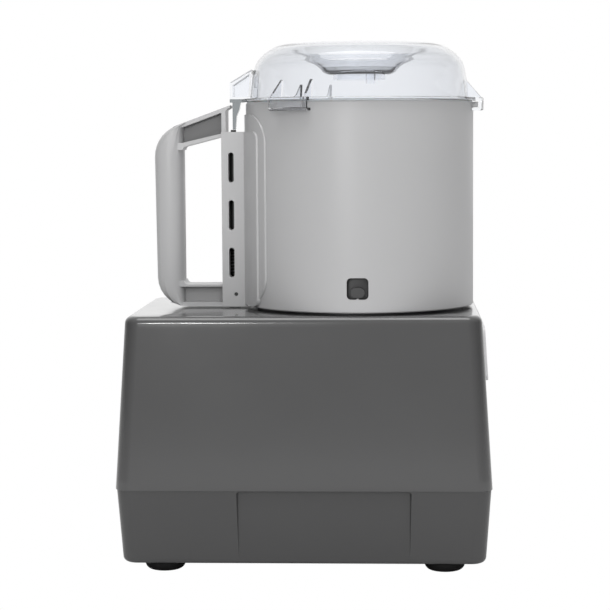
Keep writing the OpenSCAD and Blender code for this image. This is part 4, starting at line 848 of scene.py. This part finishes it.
# %% [markdown]
# Under the funnel hangs a low collar with a small post beside it. Over the
# handle, against the dome, stands the ear: a hollow wedge that the thumb pushes.
# Its near side follows the dome's round wall, and its hollow is a second skin
# turned inside out, because clear plastic shows every wall.

# %% The funnel's collar and post, and the hollow ear
COLLAR_IN, COLLAR_R, COLLAR_DROP = 17.4, 20.0, 4.0
POST_IN, POST_OUT, POST_DROP, POST_MID, POST_DEG = 20.1, 22.7, 7.5, -65, 18
COLLAR_COLUMNS, POST_STEPS, EAR_SECTIONS = 64, 6, 13
EAR_OUT, EAR_HALF, EAR_H, EAR_TOP = BOWL_R + 11.6, 13.0, 13.0, 22.8
EAR_GAP, EAR_TIP_T, EAR_WALL, EAR_DROP, EAR_INNER, TIP_DROPS = 0.15, 1.2, 2.0, 2.2, 1.6, 1.5
collar_z = funnel_z - LID_WALL - CLEAR


def box_section(low, high, r_in, r_out):
    """Corners (r, z) of an upright rectangle."""
    return [[r_in, low], [r_out, low], [r_out, high], [r_in, high]]


def ear_grid(half, drop, out, shrink):
    """Sections across Y; the side next to the dome follows its round wall: x = -sqrt(R R - y y)."""
    y = np.linspace(-half, half, EAR_SECTIONS)[:, None]
    near = -np.sqrt((DOME_R + EAR_GAP + shrink) ** 2 - y ** 2)
    x = np.concatenate([near, -out + 0 * y, -out + 0 * y, near + EAR_TIP_T], axis=1)
    low, high = above + shrink, LID_TOP + EAR_TOP - drop * TIP_DROPS
    z = np.array([[low, low, LID_TOP + EAR_H - drop, high]]) + 0 * y
    return np.stack([BOWL_X + x, y + 0 * x, z], axis=-1)


collar = box_section(collar_z - COLLAR_DROP, collar_z, COLLAR_IN, COLLAR_R)
pieces.append(closed_skin(round_grid(collar, (BOWL_X, 0), COLLAR_COLUMNS), wrap=True))
post = box_section(collar_z - POST_DROP, collar_z, POST_IN, POST_OUT)
pieces.append(arc_block(post, POST_MID, POST_DEG, POST_STEPS))
pieces.append(closed_skin(ear_grid(EAR_HALF, 0, EAR_OUT, 0)))
hollow = ear_grid(EAR_HALF - EAR_WALL, EAR_DROP, EAR_OUT - EAR_WALL, EAR_INNER)
hollow_points, hollow_faces = closed_skin(hollow)
pieces.append((hollow_points, [face[::-1] for face in hollow_faces]))
assembled("lid_skin", pieces, "lid", "clear", ("lid",), smooth=30)

# %% [markdown]
# From the shelf under the ear hangs the finger that presses the safety rod. It
# tapers to a foot whose sole ramps up to one side, so that turning the lid
# lets the rod rise bit by bit. Both are thick plastic and look darker.

# %% The finger and its shelf
FINGER_HALF, FINGER_DROP, RAMP, RAMP_FROM, SHOULDER = 4, 20.3, 0.2, 1.5, 5
FINGER_SECTIONS = 9
FINGER_OUT, SOLE_IN, WAIST_IN, NECK_IN, ROOT_IN = (BOWL_R + out for out in (10.3, 8, 7.2, 5, 4))
foot_z, root_z = RIM_Z - FINGER_DROP, LID_Z - CLEAR
y = np.linspace(-FINGER_HALF, FINGER_HALF, FINGER_SECTIONS)[:, None]
lift = np.maximum(0, RAMP * (y + RAMP_FROM))
finger_r = np.array([[FINGER_OUT, FINGER_OUT, SOLE_IN, WAIST_IN, NECK_IN, ROOT_IN]])
finger_z = np.array([[root_z, foot_z, foot_z, (LID_Z + foot_z) / 2, LID_Z - SHOULDER, root_z]])
finger_z = finger_z + lift * (finger_z == foot_z)
finger = closed_skin(np.stack([BOWL_X - finger_r + 0 * y, y + 0 * finger_r, finger_z], axis=-1))
y = np.linspace(-EAR_HALF, EAR_HALF, EAR_SECTIONS)[:, None]
shelf_r = np.sqrt(hook_in ** 2 - y ** 2)
shelf_x = BOWL_X - np.concatenate([shelf_r, EAR_OUT + 0 * y, EAR_OUT + 0 * y, shelf_r], axis=1)
shelf_z = np.array([[LID_Z, LID_Z, LID_TOP, LID_TOP]]) + 0 * y
shelf = closed_skin(np.stack([shelf_x, y + 0 * shelf_x, shelf_z], axis=-1))
assembled("lid_finger", [finger, shelf], "lid", "smoky", (), smooth=30)
